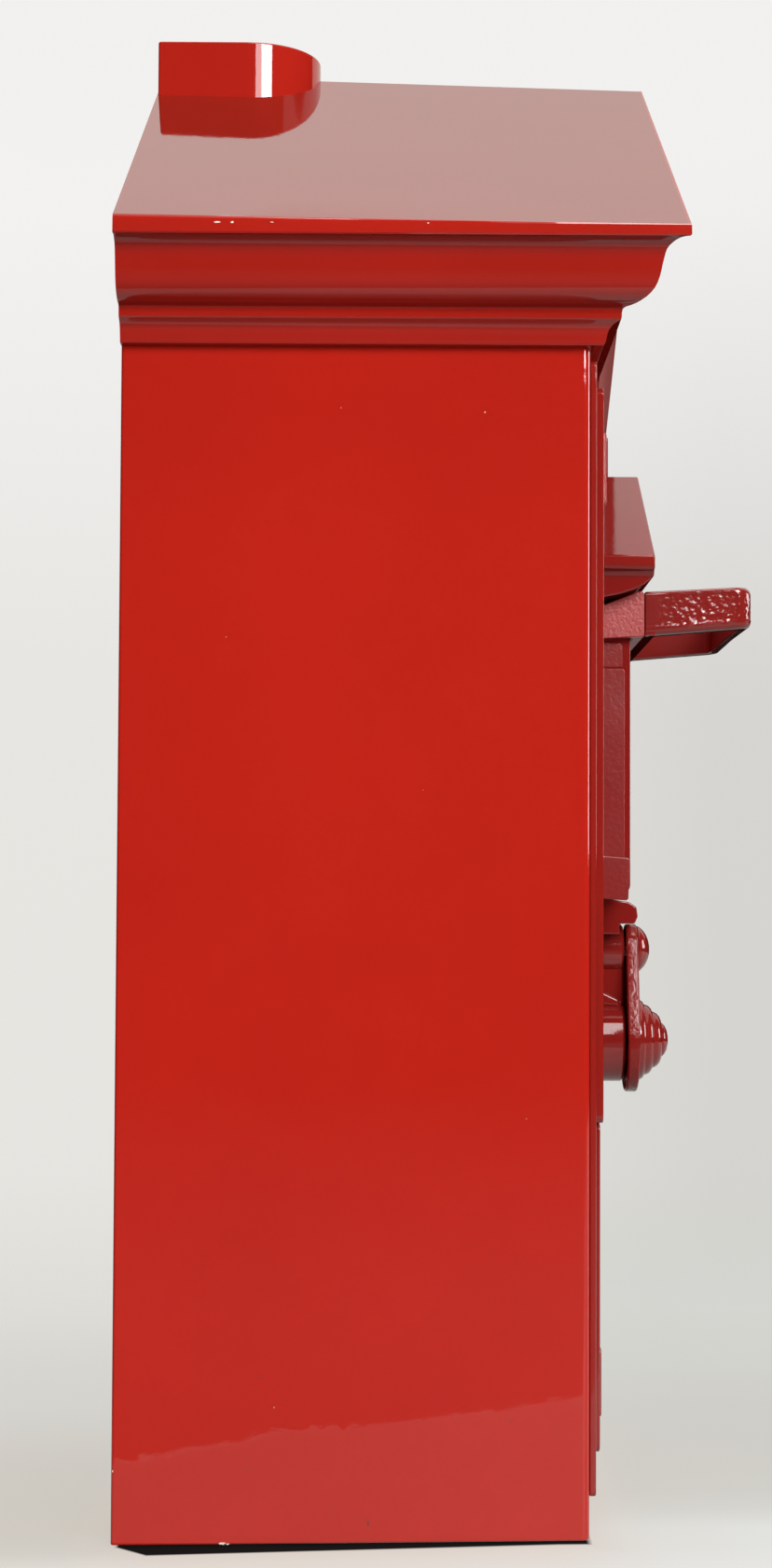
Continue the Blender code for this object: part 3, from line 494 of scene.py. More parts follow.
def moulding(name, profile, rake, closing):
    """A closed body: the profile's lines, the roof over them when it rakes, and flat ends against the wall line."""
    bm = bmesh.new()
    rows = []
    for k, (out, z) in enumerate(profile):
        rise = 2.0 * max(0.0, 1 - k / 3.0) if rake else 0.0
        rows.append([bm.verts.new(at(*p)) for p in run(out, z, rise, rake)])
    for a, b in zip(rows, rows[1:]):
        for i in range(len(a) - 1):
            bm.faces.new((a[i], b[i], b[i + 1], a[i + 1]))
    top, last = rows[0], rows[-1]
    if rake:
        mid = 2 * CUTS
        ridge = [bm.verts.new(at(0, (-(DEPTH + profile[0][0])) * i / CUTS, 462.7 + (top[mid].co.z * 1000 - 462.7) * i / CUTS)) for i in range(CUTS)] + [top[mid]]
        for side in (0, 1):
            eave = top[:CUTS + 1] if side == 0 else list(reversed(top))[:CUTS + 1]
            rake_line = top[CUTS:mid + 1] if side == 0 else list(reversed(top))[CUTS:mid + 1]
            grid = [[None] * (CUTS + 1) for _ in range(CUTS + 1)]
            for i in range(CUTS + 1):
                for j in range(CUTS + 1):
                    if j == 0:
                        v = eave[i]
                    elif j == CUTS:
                        v = ridge[i]
                    elif i == CUTS:
                        v = rake_line[j]
                    else:
                        a, b = eave[i].co, ridge[i].co
                        v = bm.verts.new(a.lerp(b, j / CUTS))
                    grid[i][j] = v
            for i in range(CUTS):
                for j in range(CUTS):
                    bm.faces.new((grid[i][j], grid[i + 1][j], grid[i + 1][j + 1], grid[i][j + 1]))
            backs = [grid[0][j] for j in range(CUTS + 1)]
            if side == 0:
                back_left = backs
            else:
                back_right = backs
        foot = [bm.verts.new(at(*p)) for p in run(closing[0], closing[1])]
        for i in range(len(foot) - 1):
            bm.faces.new((last[i], foot[i], foot[i + 1], last[i + 1]))
        bm.faces.new([r[0] for r in rows] + [foot[0], foot[-1]] + [r[-1] for r in reversed(rows)] + back_right[1:] + list(reversed(back_left[1:-1])))
        bm.faces.new(foot)
    else:
        inner = [bm.verts.new(at(*p)) for p in run(closing[0], closing[1])]
        inner_top = [bm.verts.new(at(*p)) for p in run(closing[0], closing[2])]
        for a, b in ((last, inner), (inner, inner_top), (inner_top, top)):
            for i in range(len(a) - 1):
                bm.faces.new((a[i], b[i], b[i + 1], a[i + 1]))
        for end in (0, -1):
            bm.faces.new([r[end] for r in rows] + [inner[end], inner_top[end]])
    return from_bm(name, bm, 24.0)


roof = moulding("case_roof", CORNICE, True, (-0.6, 351.0))
hollow = prism("roof_hollow", [(-120.5, 300), (120.5, 300), (120.5, 381), (0, 449), (-120.5, 381)], "Y", -6, -130.2)
boolean(roof, "DIFFERENCE", hollow, pin("roof_bore", (0, -26, 440), 13.4, 120, "Z"))
roof.data.set_sharp_from_angle(angle=math.radians(22))
place(roof, CORNICE_PAINTED_SHADE, "case", "case_shell")
# painted shade: faces that look upwards take the darker roof copy, the rest of the casting keeps the cornice copy
roof.data.materials.append(ROOF_PAINTED_SHADE)
for face in roof.data.polygons:
    face.material_index = 1 if face.normal.z > 0.7 and face.area > 0.00002 else 0
bed = moulding("case_bed_mould", [(7.9, 353.4), (8.3, 352.9)] + BED, False, (-2.0, 342.5, 353.4))
place(bed, CORNICE_PAINTED_SHADE, "case", "case_shell")



def flakes(name, spots, material, thick, body="case", node="case_shell"):
    """Small chips and nibs in the paint, each a thin irregular scale sunk into the face it sits on."""
    bm = bmesh.new()
    for k, (x, y, z, wide, tall, face) in enumerate(spots):
        n, u = {"side": (Vector((-1, 0, 0)), Vector((0, 1, 0))), "roof": (Vector((-0.4923, 0, 0.8704)), Vector((0, 1, 0))), "front": (Vector((0, -1, 0)), Vector((1, 0, 0)))}[face]
        v = n.cross(u)
        centre, low, high = at(x, y, z), [], []
        for i in range(11):
            a = 2 * math.pi * i / 11
            r = 0.8 + 0.7 * noise.noise(Vector((k * 3.1 + 0.4, 1.4 * math.cos(a), 1.4 * math.sin(a))))
            spot = (u * math.cos(a) * wide + v * math.sin(a) * tall) * r / 2000.0
            low.append(bm.verts.new(centre + spot - n * 0.00012))
            high.append(bm.verts.new(centre + spot * 0.78 + n * thick / 1000.0))
        bm.faces.new(list(reversed(low)))
        bm.faces.new(high)
        for i in range(11):
            j = (i + 1) % 11
            bm.faces.new((low[i], low[j], high[j], high[i]))
    bmesh.ops.recalc_face_normals(bm, faces=bm.faces)
    place(from_bm(name, bm, 24.0), material, body, node)


flakes("paint_chips", [(-126.5, -31.9, -0.35, 2.1, 0.9, "side"), (-126.45, -33.4, -0.45, 1.3, 0.6, "side"), (-126.4, -1.0, 344.4, 0.9, 1.6, "side"), (-126.4, -0.9, 340.2, 0.7, 2.6, "side"),
                       (-126.4, -1.1, 335.3, 0.8, 1.3, "side"), (-126.4, -0.7, 20.0, 0.7, 1.5, "side"), (-153.0, -29.4, 371.93, 2.6, 0.6, "side"), (-153.0, -33.6, 371.95, 1.4, 0.65, "side"),
                       (-153.0, -44.8, 372.0, 1.3, 0.5, "side"), (-153.0, -88.6, 371.95, 0.9, 0.45, "side"), (-126.45, -134.2, 345.0, 0.5, 1.2, "side")], CHIP, 0.05)
flakes("paint_nibs", [(-91.2, -16.0, 407.3, 1.1, 0.7, "roof"), (-94.3, -18.6, 405.5, 0.7, 0.5, "roof"), (-65.6, -49.4, 421.8, 0.9, 0.6, "roof"), (-126.5, -38.5, 20.1, 0.8, 0.7, "side"),
                      (-126.5, -113.7, 34.5, 0.9, 0.5, "side"), (-126.5, -42.5, 46.9, 0.8, 1.2, "side"), (-126.5, -73.2, 5.5, 0.7, 2.2, "side"), (-126.5, -72.4, 6.6, 0.5, 1.0, "side"),
                      (-28.0, -101.0, 443.0, 0.7, 0.5, "roof"), (-118.0, -70.0, 392.1, 0.6, 0.4, "roof")], NIB, 0.05)
flakes("paint_specks", [(-126.5, -46.3, 38.0, 0.5, 0.5, "side"), (-126.5, -105.5, 323.7, 0.5, 0.7, "side"), (-126.5, -63.8, 324.8, 0.45, 0.4, "side"), (-126.5, -88.0, 214.0, 0.4, 0.4, "side"),
                        (-126.5, -31.0, 258.0, 0.4, 0.4, "side"), (-126.5, -118.0, 120.0, 0.4, 0.5, "side")], CHIP, 0.05)

# conduit boss
boss_plan = [(-23.85, -0.2), (-23.85, -29.5)] + arc(0, -29.5, 23.85, 180, 360, 40)[1:-1] + [(23.85, -29.5), (23.85, -0.2)]
boss = prism("conduit_boss", rounded(boss_plan, [0.8] + [0] * (len(boss_plan) - 2) + [0.8], 3), "Z", 437.0, 466.9, 1.1, 4, angle=50.0)
boolean(boss, "DIFFERENCE", turned("boss_bore", [(0, 40), (15.6, 40), (14.2, 27.4), (13.4, 26.4), (13.4, -60), (0, -60)], (0, -26, 440), "Z"))
place(boss, CORNICE_PAINTED_SHADE, "case", "case_shell")
# hinge leaves and knuckles on the case
HX, HY = 131.0, -140.0
for name, z in (("lower", 56.0), ("upper", 300.0)):
    for side, dz in (("below", -14.5), ("above", 14.5)):
        leaf = block("case_leaf_%s_%s" % (name, side), (121.5, -136.0, z + dz - 7), (132.5, -125, z + dz + 7), 1.2)
        place(leaf, RED, "case", "case_shell")
        knuckle = turned("case_knuckle_%s_%s" % (name, side), [(2.5, 7), (4.3, 7), (5, 6.3), (5, -6.3), (4.3, -7), (2.5, -7)], (HX, HY, z + dz), "Z")
        place(knuckle, RED, "case", "case_shell")
    knob = turned("hinge_pin_" + name, [(0, 25.4), (1.6, 25.2), (3.0, 24.2), (3.4, 23.0), (3.4, 21.9), (2.2, 21.7), (2.2, -23.6), (1.8, -24), (0, -24)],
                  (HX, HY, z), "Z")
    place(knob, SMALL_RED, "case", "door_hinge_pin_" + name)


# ------------------------------------------------------------------ front door
FACE, BACK = -140.7, -136.6
LOCK_Z, PIVOT_Z = 136.6, 166.9
AXIS_Y, AXIS_Z = -149.6, 190.4


def rect(x, low, high, r, steps=5):
    return rounded([(-x, low), (x, low), (x, high), (-x, high)], r, steps)


def frame_of(name, outer, inner, y0, y1, round_mm, segments=3, angle=35.0):
    """A flat frame: an outline with an opening, between two depths, its edges rounded."""
    obj = prism(name, outer, "Y", y0, y1)
    boolean(obj, "DIFFERENCE", prism(name + "_hole", inner, "Y", y0 + 5, y1 - 5))
    return bevel(obj, round_mm, segments, angle) if round_mm else obj


plate = prism("door_plate", rect(124, 12.4, 339.5, 1.6), "Y", -136.3, FACE + 2.5, 0.4, 3)
boolean(plate, "DIFFERENCE",
        block("plate_opening", (-44, -130, 183.9), (44, -145, 277.0)),
        pin("plate_lock", (0, -140, LOCK_Z), 7.0, 30, "Y"), pin("plate_rivet", (0, -140, PIVOT_Z), 2.6, 30, "Y"),
        *[block("leaf_room_%d" % z, (121.2, -130, z + a), (126, -136.55, z + b)) for z in (56, 300) for a, b in ((-21.9, -7.2), (7.2, 21.9))])
place(plate, DOOR_PAINTED_SHADE, "front_door", "front_door")

border = frame_of("door_border", rect(118, 118, 333, 2.5), rect(106, 186, 276, 2.0), -137.4, FACE, 0.5, 4)
boolean(border, "DIFFERENCE", block("border_opening", (-44, -130, 183.9), (44, -145, 277.0)),
        pin("border_lock", (0, -140, LOCK_Z), 7.0, 30, "Y"), pin("border_rivet", (0, -140, PIVOT_Z), 2.6, 30, "Y"))
place(border, DOOR_PAINTED_SHADE, "front_door", "front_door")
field = prism("door_recess", rect(107, 185, 277, 0.5), "Y", -137.4, -139.9)
boolean(field, "DIFFERENCE", block("field_opening", (-44, -130, 183.9), (44, -145, 277.0)))
place(field, DOOR_PAINTED_SHADE, "front_door", "front_door")
low_panel = prism("door_low_panel", rect(110, 22, 117.5, 2.5), "Y", -137.4, FACE + 0.3, 0.5, 4)
place(low_panel, DOOR_PAINTED_SHADE, "front_door", "front_door")

tablet = prism("title_tablet", rect(98, 301, 323.5, 1.4), "Y", -138.0, -143.1, 0.9, 4)
place(tablet, GRAINY_PAINTED_SHEEN, "front_door", "front_door")
tablet_rim = frame_of("title_tablet_rim", rect(96.6, 302.4, 322.1, 1.2), rect(95.0, 304.0, 320.5, 0.9), -142.0, -143.55, 0.3, 2)
place(tablet_rim, SMALL_RED, "front_door", "front_door")
low_tablet = prism("lower_tablet", rect(70, 23.6, 46.2, 1.6), "Y", -138.0, -143.4, 0.8, 4)
place(low_tablet, DOOR_PAINTED_SHADE, "front_door", "front_door")
low_rim = frame_of("lower_tablet_rim", rect(69, 24.6, 45.2, 1.4), rect(67.2, 26.4, 43.4, 1.0), -142.8, -143.95, 0.3, 2)
place(low_rim, DOOR_PAINTED_SHADE, "front_door", "front_door")
disc = turned("medallion", [(0, 1.6), (5.0, 1.5), (7.0, 1.0), (9.0, 1.0), (10.2, 1.55), (15.4, 1.6), (17.0, 1.15), (23.2, 1.1), (24.6, 1.55), (26.6, 1.6),
                            (27.8, 1.2), (28.6, 0.6), (29.0, -0.1), (29.0, -1.6), (0, -1.6)], (0, FACE, 90), "Y", 96, 24.0)
place(disc, DOOR_PAINTED_SHADE, "front_door", "front_door")
for k in range(24):
    a = 2 * math.pi * k / 24
    bead = turned("medallion_bead_%02d" % k, [(0, 0.85), (0.75, 0.7), (1.3, 0.25), (1.5, -0.3), (1.5, -0.8), (0, -0.8)],
                  (20.1 * math.cos(a), FACE - 1.0, 90 + 20.1 * math.sin(a)), "Y", 20)
    place(bead, DOOR_PAINTED_SHADE, "front_door", "front_door")

# hood: a small pitched roof over the pull-down door, on a swept bracket
eave = 325.4 - 60 * TAN
hood = prism("hood_roof", [(0, 326.4), (60, eave), (60, eave - 3.4), (59.2, eave - 4.3), (57.6, eave - 4.7), (56, eave - 6.4), (-56, eave - 6.4),
                           (-57.6, eave - 4.7), (-59.2, eave - 4.3), (-60, eave - 3.4), (-60, eave)], "Y", -138.6, -161.4, 0.8, 4, angle=28.0)
place(hood, HOOD_RED, "front_door", "front_door")
swept = [(-138.0, 277.7), (-144.0, 278.35), (-150.5, 279.7), (-155.4, 281.3), (-158.4, 282.75), (-160.2, 284.3), (-160.8, 285.6), (-160.8, 286.9), (-138.0, 286.9)]
bracket = prism("hood_bracket", swept, "X", -56, 56, 0.6, 3, angle=30.0)
place(bracket, SMALL_RED, "front_door", "front_door")
collar = frame_of("hood_pediment_line", [(0, 321.2), (-52.5, 291.6), (52.5, 291.6)], [(0, 316.6), (-44.2, 293.3), (44.2, 293.3)], -160.4, -162.1, 0.35, 2)
place(collar, SMALL_RED, "front_door", "front_door")

# guard over the keyhole cover, boss, rib and barrel
guard = prism("cover_guard", rounded([(-139, 184.5), (-150, 183.5), (-156.6, 182.5), (-159.0, 180.8), (-159.4, 177.8), (-158.4, 175.4), (-153.5, 175.4),
                                      (-153.5, 172.0), (-139, 172.0)], [0, 3, 2, 1.5, 1.5, 1.0, 0.5, 0, 0], 5), "X", -22, 22, 1.3, 5, angle=40.0)
place(guard, SMALL_RED, "front_door", "front_door")
pivot = turned("pivot_boss", [(2.6, 15.4), (7.6, 15.4), (8.4, 14.7), (8.45, 4.0), (9.0, 1.4), (10.6, 0.2), (10.6, -1.6), (2.6, -1.6)], (0, FACE, PIVOT_Z), "Y", 72, 26.0)
place(pivot, SMALL_RED, "front_door", "front_door")
rib = prism("cover_rib", rounded([(-138.5, 143.5), (-155.9, 143.5), (-155.9, 165.5), (-138.5, 165.5)], [0, 0.6, 0.6, 0], 4), "X", -5, 5, 1.6, 4)
for side in (-1, 1):
    web = prism("cover_web_%s" % ("left" if side < 0 else "right"), [(-139, 149), (-154.8, 148), (-154.4, 150.2), (-148, 153.2), (-142.5, 157.2), (-139, 162)], "X",
                min(side * 4, side * 8.2), max(side * 4, side * 8.2), 0.8, 3, angle=25.0)
    place(web, SMALL_RED, "front_door", "front_door")
place(rib, SMALL_RED, "front_door", "front_door")
barrel = turned("lock_barrel", [(7.0, 15.4), (12.9, 15.4), (13.8, 14.6), (13.85, 3.6), (14.5, 1.2), (16.4, 0.1), (16.4, -1.6), (7.0, -1.6)], (0, FACE, LOCK_Z), "Y", 96, 26.0)
place(barrel, SMALL_RED, "front_door", "front_door")
for side in (-1, 1):
    lug = prism("pull_lug_%s" % ("left" if side < 0 else "right"),
                rounded([(-139, 183.9), (-153.9, 182.9), (-154.4, 196.4), (-139, 197.5)], [0, 0.8, 1.0, 0], 4), "X",
                min(side * 43.35, side * 49.4), max(side * 43.35, side * 49.4), 0.4)
    boolean(lug, "DIFFERENCE", pin("lug_bore_%d" % side, (side * 43, AXIS_Y, AXIS_Z), 2.3, 11.4, "X"))
    place(lug, LEAF_PAINTED_LIGHT, "front_door", "front_door")
for name, z in (("lower", 56.0), ("upper", 300.0)):
    leaf = block("door_leaf_" + name, (117.5, -140.4, z - 6.9), (128.5, BACK, z + 6.9), 0.8)
    place(leaf, DOOR_PAINTED_SHADE, "front_door", "front_door")
    knuckle = turned("door_knuckle_" + name, [(2.6, 7), (4.3, 7), (5, 6.3), (5, -6.3), (4.3, -7), (2.6, -7)], (HX, HY, z), "Z")
    place(knuckle, DOOR_PAINTED_SHADE, "front_door", "front_door")


# ------------------------------------------------------------------ pull-down door
side_view = [(-138.0, 184.9), (-152.1, 184.9)] + arc(-152.1, 187.9, 3.0, 270, 180, 8)[1:] + \
    [(-155.1, 266.2), (-155.5, 266.9), (-156.4, 267.1), (-158.2, 267.2), (-158.2, 281.7), (-157.2, 281.2), (-141.4, 275.1), (-138.0, 274.4)]
leaf = prism("pull_down_door", side_view, "X", -42.5, 42.5, 0.5, 3, angle=28.0)
boolean(leaf, "DIFFERENCE", block("pull_hollow", (-38.5, -130, 198.0), (38.5, -151.0, 262.0), 1.0),
        pin("pull_bore", (0, AXIS_Y, AXIS_Z), 2.3, 120, "X"),
        block("pull_spring_room", (-10, -130, 184), (10, -153.6, 199)))
place(leaf, SMALL_RED, "pull_door", "pull_down_door")
for side in (-1, 1):
    tag = "left" if side < 0 else "right"
    cheek = prism("pull_cheek_" + tag, rounded([(-139.5, 186.4), (-152.9, 186.4), (-153.3, 188.5), (-153.3, 257.1), (-139.5, 257.1)], [0, 0.6, 0.6, 0.8, 0], 3), "X",
                  min(side * 40.5, side * 43.05), max(side * 40.5, side * 43.05), 0.35, 3)
    boolean(cheek, "DIFFERENCE", pin("cheek_bore_" + tag, (side * 42, AXIS_Y, AXIS_Z), 2.3, 12, "X"))
    place(cheek, LEAF_PAINTED_LIGHT, "pull_door", "pull_down_door")
    upper = prism("pull_cheek_top_" + tag, rounded([(-139.5, 257.6), (-152.6, 257.6), (-152.6, 265.4), (-139.5, 265.6)], [0, 0.6, 1.5, 0], 3), "X",
                  min(side * 40.5, side * 42.8), max(side * 40.5, side * 42.8), 0.3, 3)
    place(upper, LEAF_PAINTED_LIGHT, "pull_door", "pull_down_door")
head = prism("pull_block", rounded([(-141.5, 266.2), (-159.2, 267.2), (-159.2, 282.3), (-141.5, 275.4)], [0.3, 0.6, 1.2, 0.3], 4), "X", -47, 47, 0.55, 4, angle=28.0)
place(head, GRAINY_PAINTED_SHEEN, "pull_door", "pull_down_door")


# ------------------------------------------------------------------ ring handle
def ridge_line(u, v, low, high, end, r):
    """Signed distance inside a face whose outer end is rounded: positive inside."""
    cu, lo, hi = end - r, low + r, high - r
    if u > cu and v > hi:
        return r - math.hypot(u - cu, v - hi)
    if u > cu and v < lo:
        return r - math.hypot(u - cu, v - lo)
    return min(end - u, v - low, high - v)


def ring_handle():
    half, back, end, wall, bar, r = 45.0, -159.9, -194.0, 7.0, 3.8, 4.6
    outer = [(-half, back + (end + r - back) * i / 72) for i in range(72)] + arc(-half + r, end + r, r, 180, 270, 16)
    outer += [(-half + r + (2 * half - 2 * r) * i / 60, end) for i in range(1, 60)]
    outer += arc(half - r, end + r, r, 270, 360, 16) + [(half, end + r + (back - end - r) * i / 72) for i in range(1, 73)]
    ix, iy, q = half - wall, end + bar, 2.5
    inner = [(-ix, back + (iy + q - back) * i / 72) for i in range(72)] + arc(-ix + q, iy + q, q, 180, 270, 16)
    inner += [(-ix + q + (2 * ix - 2 * q) * i / 60, iy) for i in range(1, 60)]
    inner += arc(ix - q, iy + q, q, 270, 360, 16) + [(ix, iy + q + (back - iy - q) * i / 72) for i in range(1, 73)]
    bm = bmesh.new()
    rows = []
    for (ox, oy), (nx, ny) in zip(outer, inner):
        o, n = Vector((ox, oy)), Vector((nx, ny))
        across = (n - o).length
        way = (n - o) / across
        forward = -159.5 - oy
        low, high = 267.6 + forward * 0.083, 281.8 + forward * 0.054
        swell = max(0.0, min(1.0, (forward - 28.6) / 5.6))
        rb, rt, ri = 2.4, 1.1 + 1.9 * swell * swell * (3 - 2 * swell), 0.55
        loop = []                                           # (distance inward, height)
        tall = high - low
        loop += [(0.0, low + rb + (tall - rb - rt) * k / 30, 0) for k in range(31)]
        loop += [(rt - rt * math.cos(a), high - rt + rt * math.sin(a), 1) for a in [math.pi / 2 * k / 6 for k in range(1, 7)]]
        loop += [(rt + (across - rt - ri) * k / 5, high, 1) for k in range(1, 6)]
        loop += [(across - ri + ri * math.sin(a), high - ri + ri * math.cos(a), 1) for a in [math.pi / 2 * k / 4 for k in range(1, 5)]]
        loop += [(across, high - ri + (low + 2 * ri - high) * k / 8, 2) for k in range(1, 9)]
        loop += [(across - ri + ri * math.cos(a), low + ri - ri * math.sin(a), 3) for a in [math.pi / 2 * k / 4 for k in range(1, 5)]]
        loop += [(across - ri - (across - ri - rb) * k / 5, low, 3) for k in range(1, 6)]
        loop += [(rb - rb * math.sin(a), low + rb - rb * math.cos(a), 3) for a in [math.pi / 2 * k / 8 for k in range(1, 8)]]
        row = []
        for d, z, face in loop:
            p = o + way * d
            out = 0.0
            spot = Vector((p.x, p.y, z))
            if face == 0:
                inside = ridge_line(forward, z, low + 2.2, high - 0.9, 30.3, 3.0) if abs(ox) > half - 0.5 else min(z - low - 2.2, high - 0.9 - z)
                fade = max(0.0, min(1.0, (forward - 3.0) / 8.0))
                mask = max(0.0, min(1.0, inside / 0.8))
                rough = noise.noise(spot * 0.7) * 0.5 + noise.noise(spot * 1.5 + Vector((7, 3, 1))) * 0.45 + noise.noise(spot * 2.9) * 0.16
                out += mask * fade * (0.30 * rough - 0.12)
                out += 0.24 * math.exp(-(inside / 0.46) ** 2) * (0.25 + 0.75 * fade) * (0.8 + 0.5 * noise.noise(spot * 0.9))
            out += 0.07 * noise.noise(spot * 0.16 + Vector((3, 9, 4)))
            p = p - way * out
            row.append(bm.verts.new(at(p.x, p.y, z)))
        rows.append(row)
    for a, b in zip(rows, rows[1:]):
        for k in range(len(a)):
            n = (k + 1) % len(a)
            bm.faces.new((a[k], b[k], b[n], a[n]))
    bm.faces.new(rows[0])
    bm.faces.new(list(reversed(rows[-1])))
    return from_bm("ring_handle", bm, 38.0)


handle = ring_handle()
place(handle, LUMPY_RED, "pull_door", "pull_handle")
heel = block("handle_back_bar", (-44.6, -159.5, 267.75), (44.6, -163.2, 281.75), 0.6)
place(heel, SMALL_RED, "pull_door", "pull_handle")


# ------------------------------------------------------------------ keyhole cover
reach = PIVOT_Z - LOCK_Z
tilt = math.degrees(math.asin((17.3 - 8.3) / reach))
outline = arc(0, LOCK_Z, 17.3, 180 - tilt, 360 + tilt, 72) + arc(0, PIVOT_Z, 8.3, tilt, 180 - tilt, 36)
cover = prism("keyhole_cover", outline, "Y", -156.8, -160.8, 0.75, 4, angle=50.0)
boolean(cover, "DIFFERENCE", pin("cover_bore", (0, -158.5, PIVOT_Z), 2.8, 12, "Y"),
        turned("cover_dish", [(0, 1.9), (6.5, 1.6), (9.0, 0.2), (9.0, -4), (0, -4)], (0, -157.1, LOCK_Z), "Y", 72))
place(cover, COVER_RED, "keyhole_cover", "keyhole_cover")
STEPS = [(0, 10.72), (1.7, 10.64), (3.3, 10.3), (4.6, 9.7), (5.35, 9.05), (5.58, 8.62), (5.66, 8.42), (5.85, 8.40), (6.6, 8.3), (7.8, 7.8), (8.7, 7.0), (9.22, 6.1),
         (9.40, 5.52), (9.50, 5.30), (9.72, 5.28), (10.5, 4.95), (11.25, 4.2), (11.65, 3.3), (11.76, 2.72), (11.86, 2.50), (12.08, 2.48), (12.6, 2.25), (13.1, 1.65),
         (13.4, 0.9), (13.5, 0.0), (13.6, -0.6), (0, -0.6)]
cone = turned("keyhole_cover_steps", STEPS, (0, -160.6, LOCK_Z), "Y", 128, 38.0)
place(cone, SMALL_RED, "keyhole_cover", "keyhole_cover")
rivet = turned("cover_rivet", [(0, 3.9), (1.6, 3.82), (3.2, 3.45), (4.7, 2.85), (6.0, 2.0), (6.9, 1.15), (7.45, 0.45), (7.6, -0.15), (7.2, -0.35), (2.2, -0.4), (2.2, -28), (0, -28)],
               (0, -161.2, PIVOT_Z), "Y", 96)
place(rivet, SMALL_RED, "front_door", "cover_rivet")
plug = turned("lock_plug", [(0, 12.5), (5.9, 12.5), (6.6, 11.8), (6.6, -12.5), (0, -12.5)], (0, -143.1, LOCK_Z), "Y", 64)
boolean(plug, "DIFFERENCE", pin("key_round", (0, -153, LOCK_Z), 1.8, 12, "Y"), block("key_slot", (-0.8, -147, LOCK_Z - 5), (0.8, -157, LOCK_Z)))
place(plug, BRASS, "lock", "lock_plug")


# ------------------------------------------------------------------ stage and light
def flat(name, corners, colour, rough=0.6, alpha=None, glow=0.0):
    bm = bmesh.new()
    bm.faces.new([bm.verts.new(c) for c in corners])
    obj = from_bm(name, bm, 0)
    g = Graph(name + "_look")
    g.set("Base", g.mix(g.ramp(g.noise(60.0, 3.0), 0.3, 0.7), colour, tuple(0.985 * c for c in colour)))
    g.set("Roughness", rough)
    if glow:
        g.set("Emission Color", (0.99, 0.98, 0.94))
        g.set("Emission Strength", glow)
    if alpha:
        centre, near, far = alpha
        gap = g.add("ShaderNodeVectorMath", operation="DISTANCE")
        where = g.add("ShaderNodeNewGeometry").outputs["Position"]
        g.link(where, gap.inputs[0])
        gap.inputs[1].default_value = centre
        g.set("Alpha", g.ramp(gap.outputs["Value"], near, far, 1.0, 0.0))
    obj.data.materials.append(g.mat)
    return obj


def area(name, place_at, look_at, size, power, colour=(1, 1, 1), glossy=True, diffuse=True):
    data = bpy.data.lights.new(name, "AREA")
    data.shape = "RECTANGLE"
    data.size, data.size_y = size
    data.energy = power
    data.color = colour
    obj = bpy.data.objects.new(name, data)
    obj.location = place_at
    obj.rotation_mode = "QUATERNION"
    obj.rotation_quaternion = (Vector(look_at) - Vector(place_at)).to_track_quat("-Z", "Y")
    obj.visible_camera = False
    obj.visible_glossy = glossy
    obj.visible_diffuse = diffuse
    bpy.context.scene.collection.objects.link(obj)
    return obj


world = bpy.context.scene.world or bpy.data.worlds.new("world")
bpy.context.scene.world = world
world.use_nodes = True
world.cycles_visibility.glossy = False
world.cycles_visibility.diffuse = False


def paper():
    """The pale sweep behind, its light and shade painted in: lighter above, greyer low and towards the front."""
    tree = world.node_tree
    split = tree.nodes.new("ShaderNodeSeparateXYZ")
    tree.links.new(tree.nodes.new("ShaderNodeTexCoord").outputs["Generated"], split.inputs[0])
    ramp = tree.nodes.new("ShaderNodeValToRGB")
    spread = tree.nodes.new("ShaderNodeMapRange")
    tree.links.new(split.outputs["Z"], spread.inputs["Value"])
    low_end, high_end = -0.14, 0.30
    spread.inputs["From Min"].default_value, spread.inputs["From Max"].default_value = low_end, high_end
    tree.links.new(spread.outputs["Result"], ramp.inputs["Fac"])
    stops = [(-0.14, 0.755), (-0.094, 0.785), (0.024, 0.79), (0.10, 0.795), (0.18, 0.84), (0.26, 0.885), (0.30, 0.875)]
    ramp.color_ramp.elements[0].position = 0.0
    ramp.color_ramp.elements[1].position = 1.0
    for where, tone in stops[1:-1]:
        ramp.color_ramp.elements.new((where - low_end) / (high_end - low_end))
    for element, (where, tone) in zip(ramp.color_ramp.elements, stops):
        warm = max(0.0, min(1.0, (0.2 - where) / 0.16))
        element.color = (tone * 1.008, tone * (1.0 - 0.006 * warm), tone * (0.985 - 0.035 * warm), 1)
    # painted shade: greyer towards the front of the box, except near the top
    side = tree.nodes.new("ShaderNodeMapRange")
    side.inputs["From Min"].default_value, side.inputs["From Max"].default_value = -0.12, 0.02
    side.inputs["To Min"].default_value, side.inputs["To Max"].default_value = 0.16, 0.0
    tree.links.new(split.outputs["Y"], side.inputs["Value"])
    lift = tree.nodes.new("ShaderNodeMapRange")
    lift.inputs["From Min"].default_value, lift.inputs["From Max"].default_value = 0.08, 0.29
    lift.inputs["To Min"].default_value, lift.inputs["To Max"].default_value = 1.0, 0.0
    tree.links.new(split.outputs["Z"], lift.inputs["Value"])
    both = tree.nodes.new("ShaderNodeMath")
    both.operation = "MULTIPLY"
    tree.links.new(side.outputs["Result"], both.inputs[0])
    tree.links.new(lift.outputs["Result"], both.inputs[1])
    last = tree.nodes.new("ShaderNodeMath")
    last.operation = "SUBTRACT"
    last.inputs[0].default_value = 1.0
    tree.links.new(both.outputs["Value"], last.inputs[1])
    tree.links.new(ramp.outputs["Color"], tree.nodes["Background"].inputs["Color"])
    tree.links.new(last.outputs["Value"], tree.nodes["Background"].inputs["Strength"])


paper()

# the table: its own glow keeps it as pale as the sweep; reflections see it only near the box
y0 = SHIFT / 1000.0
x0 = -0.1262


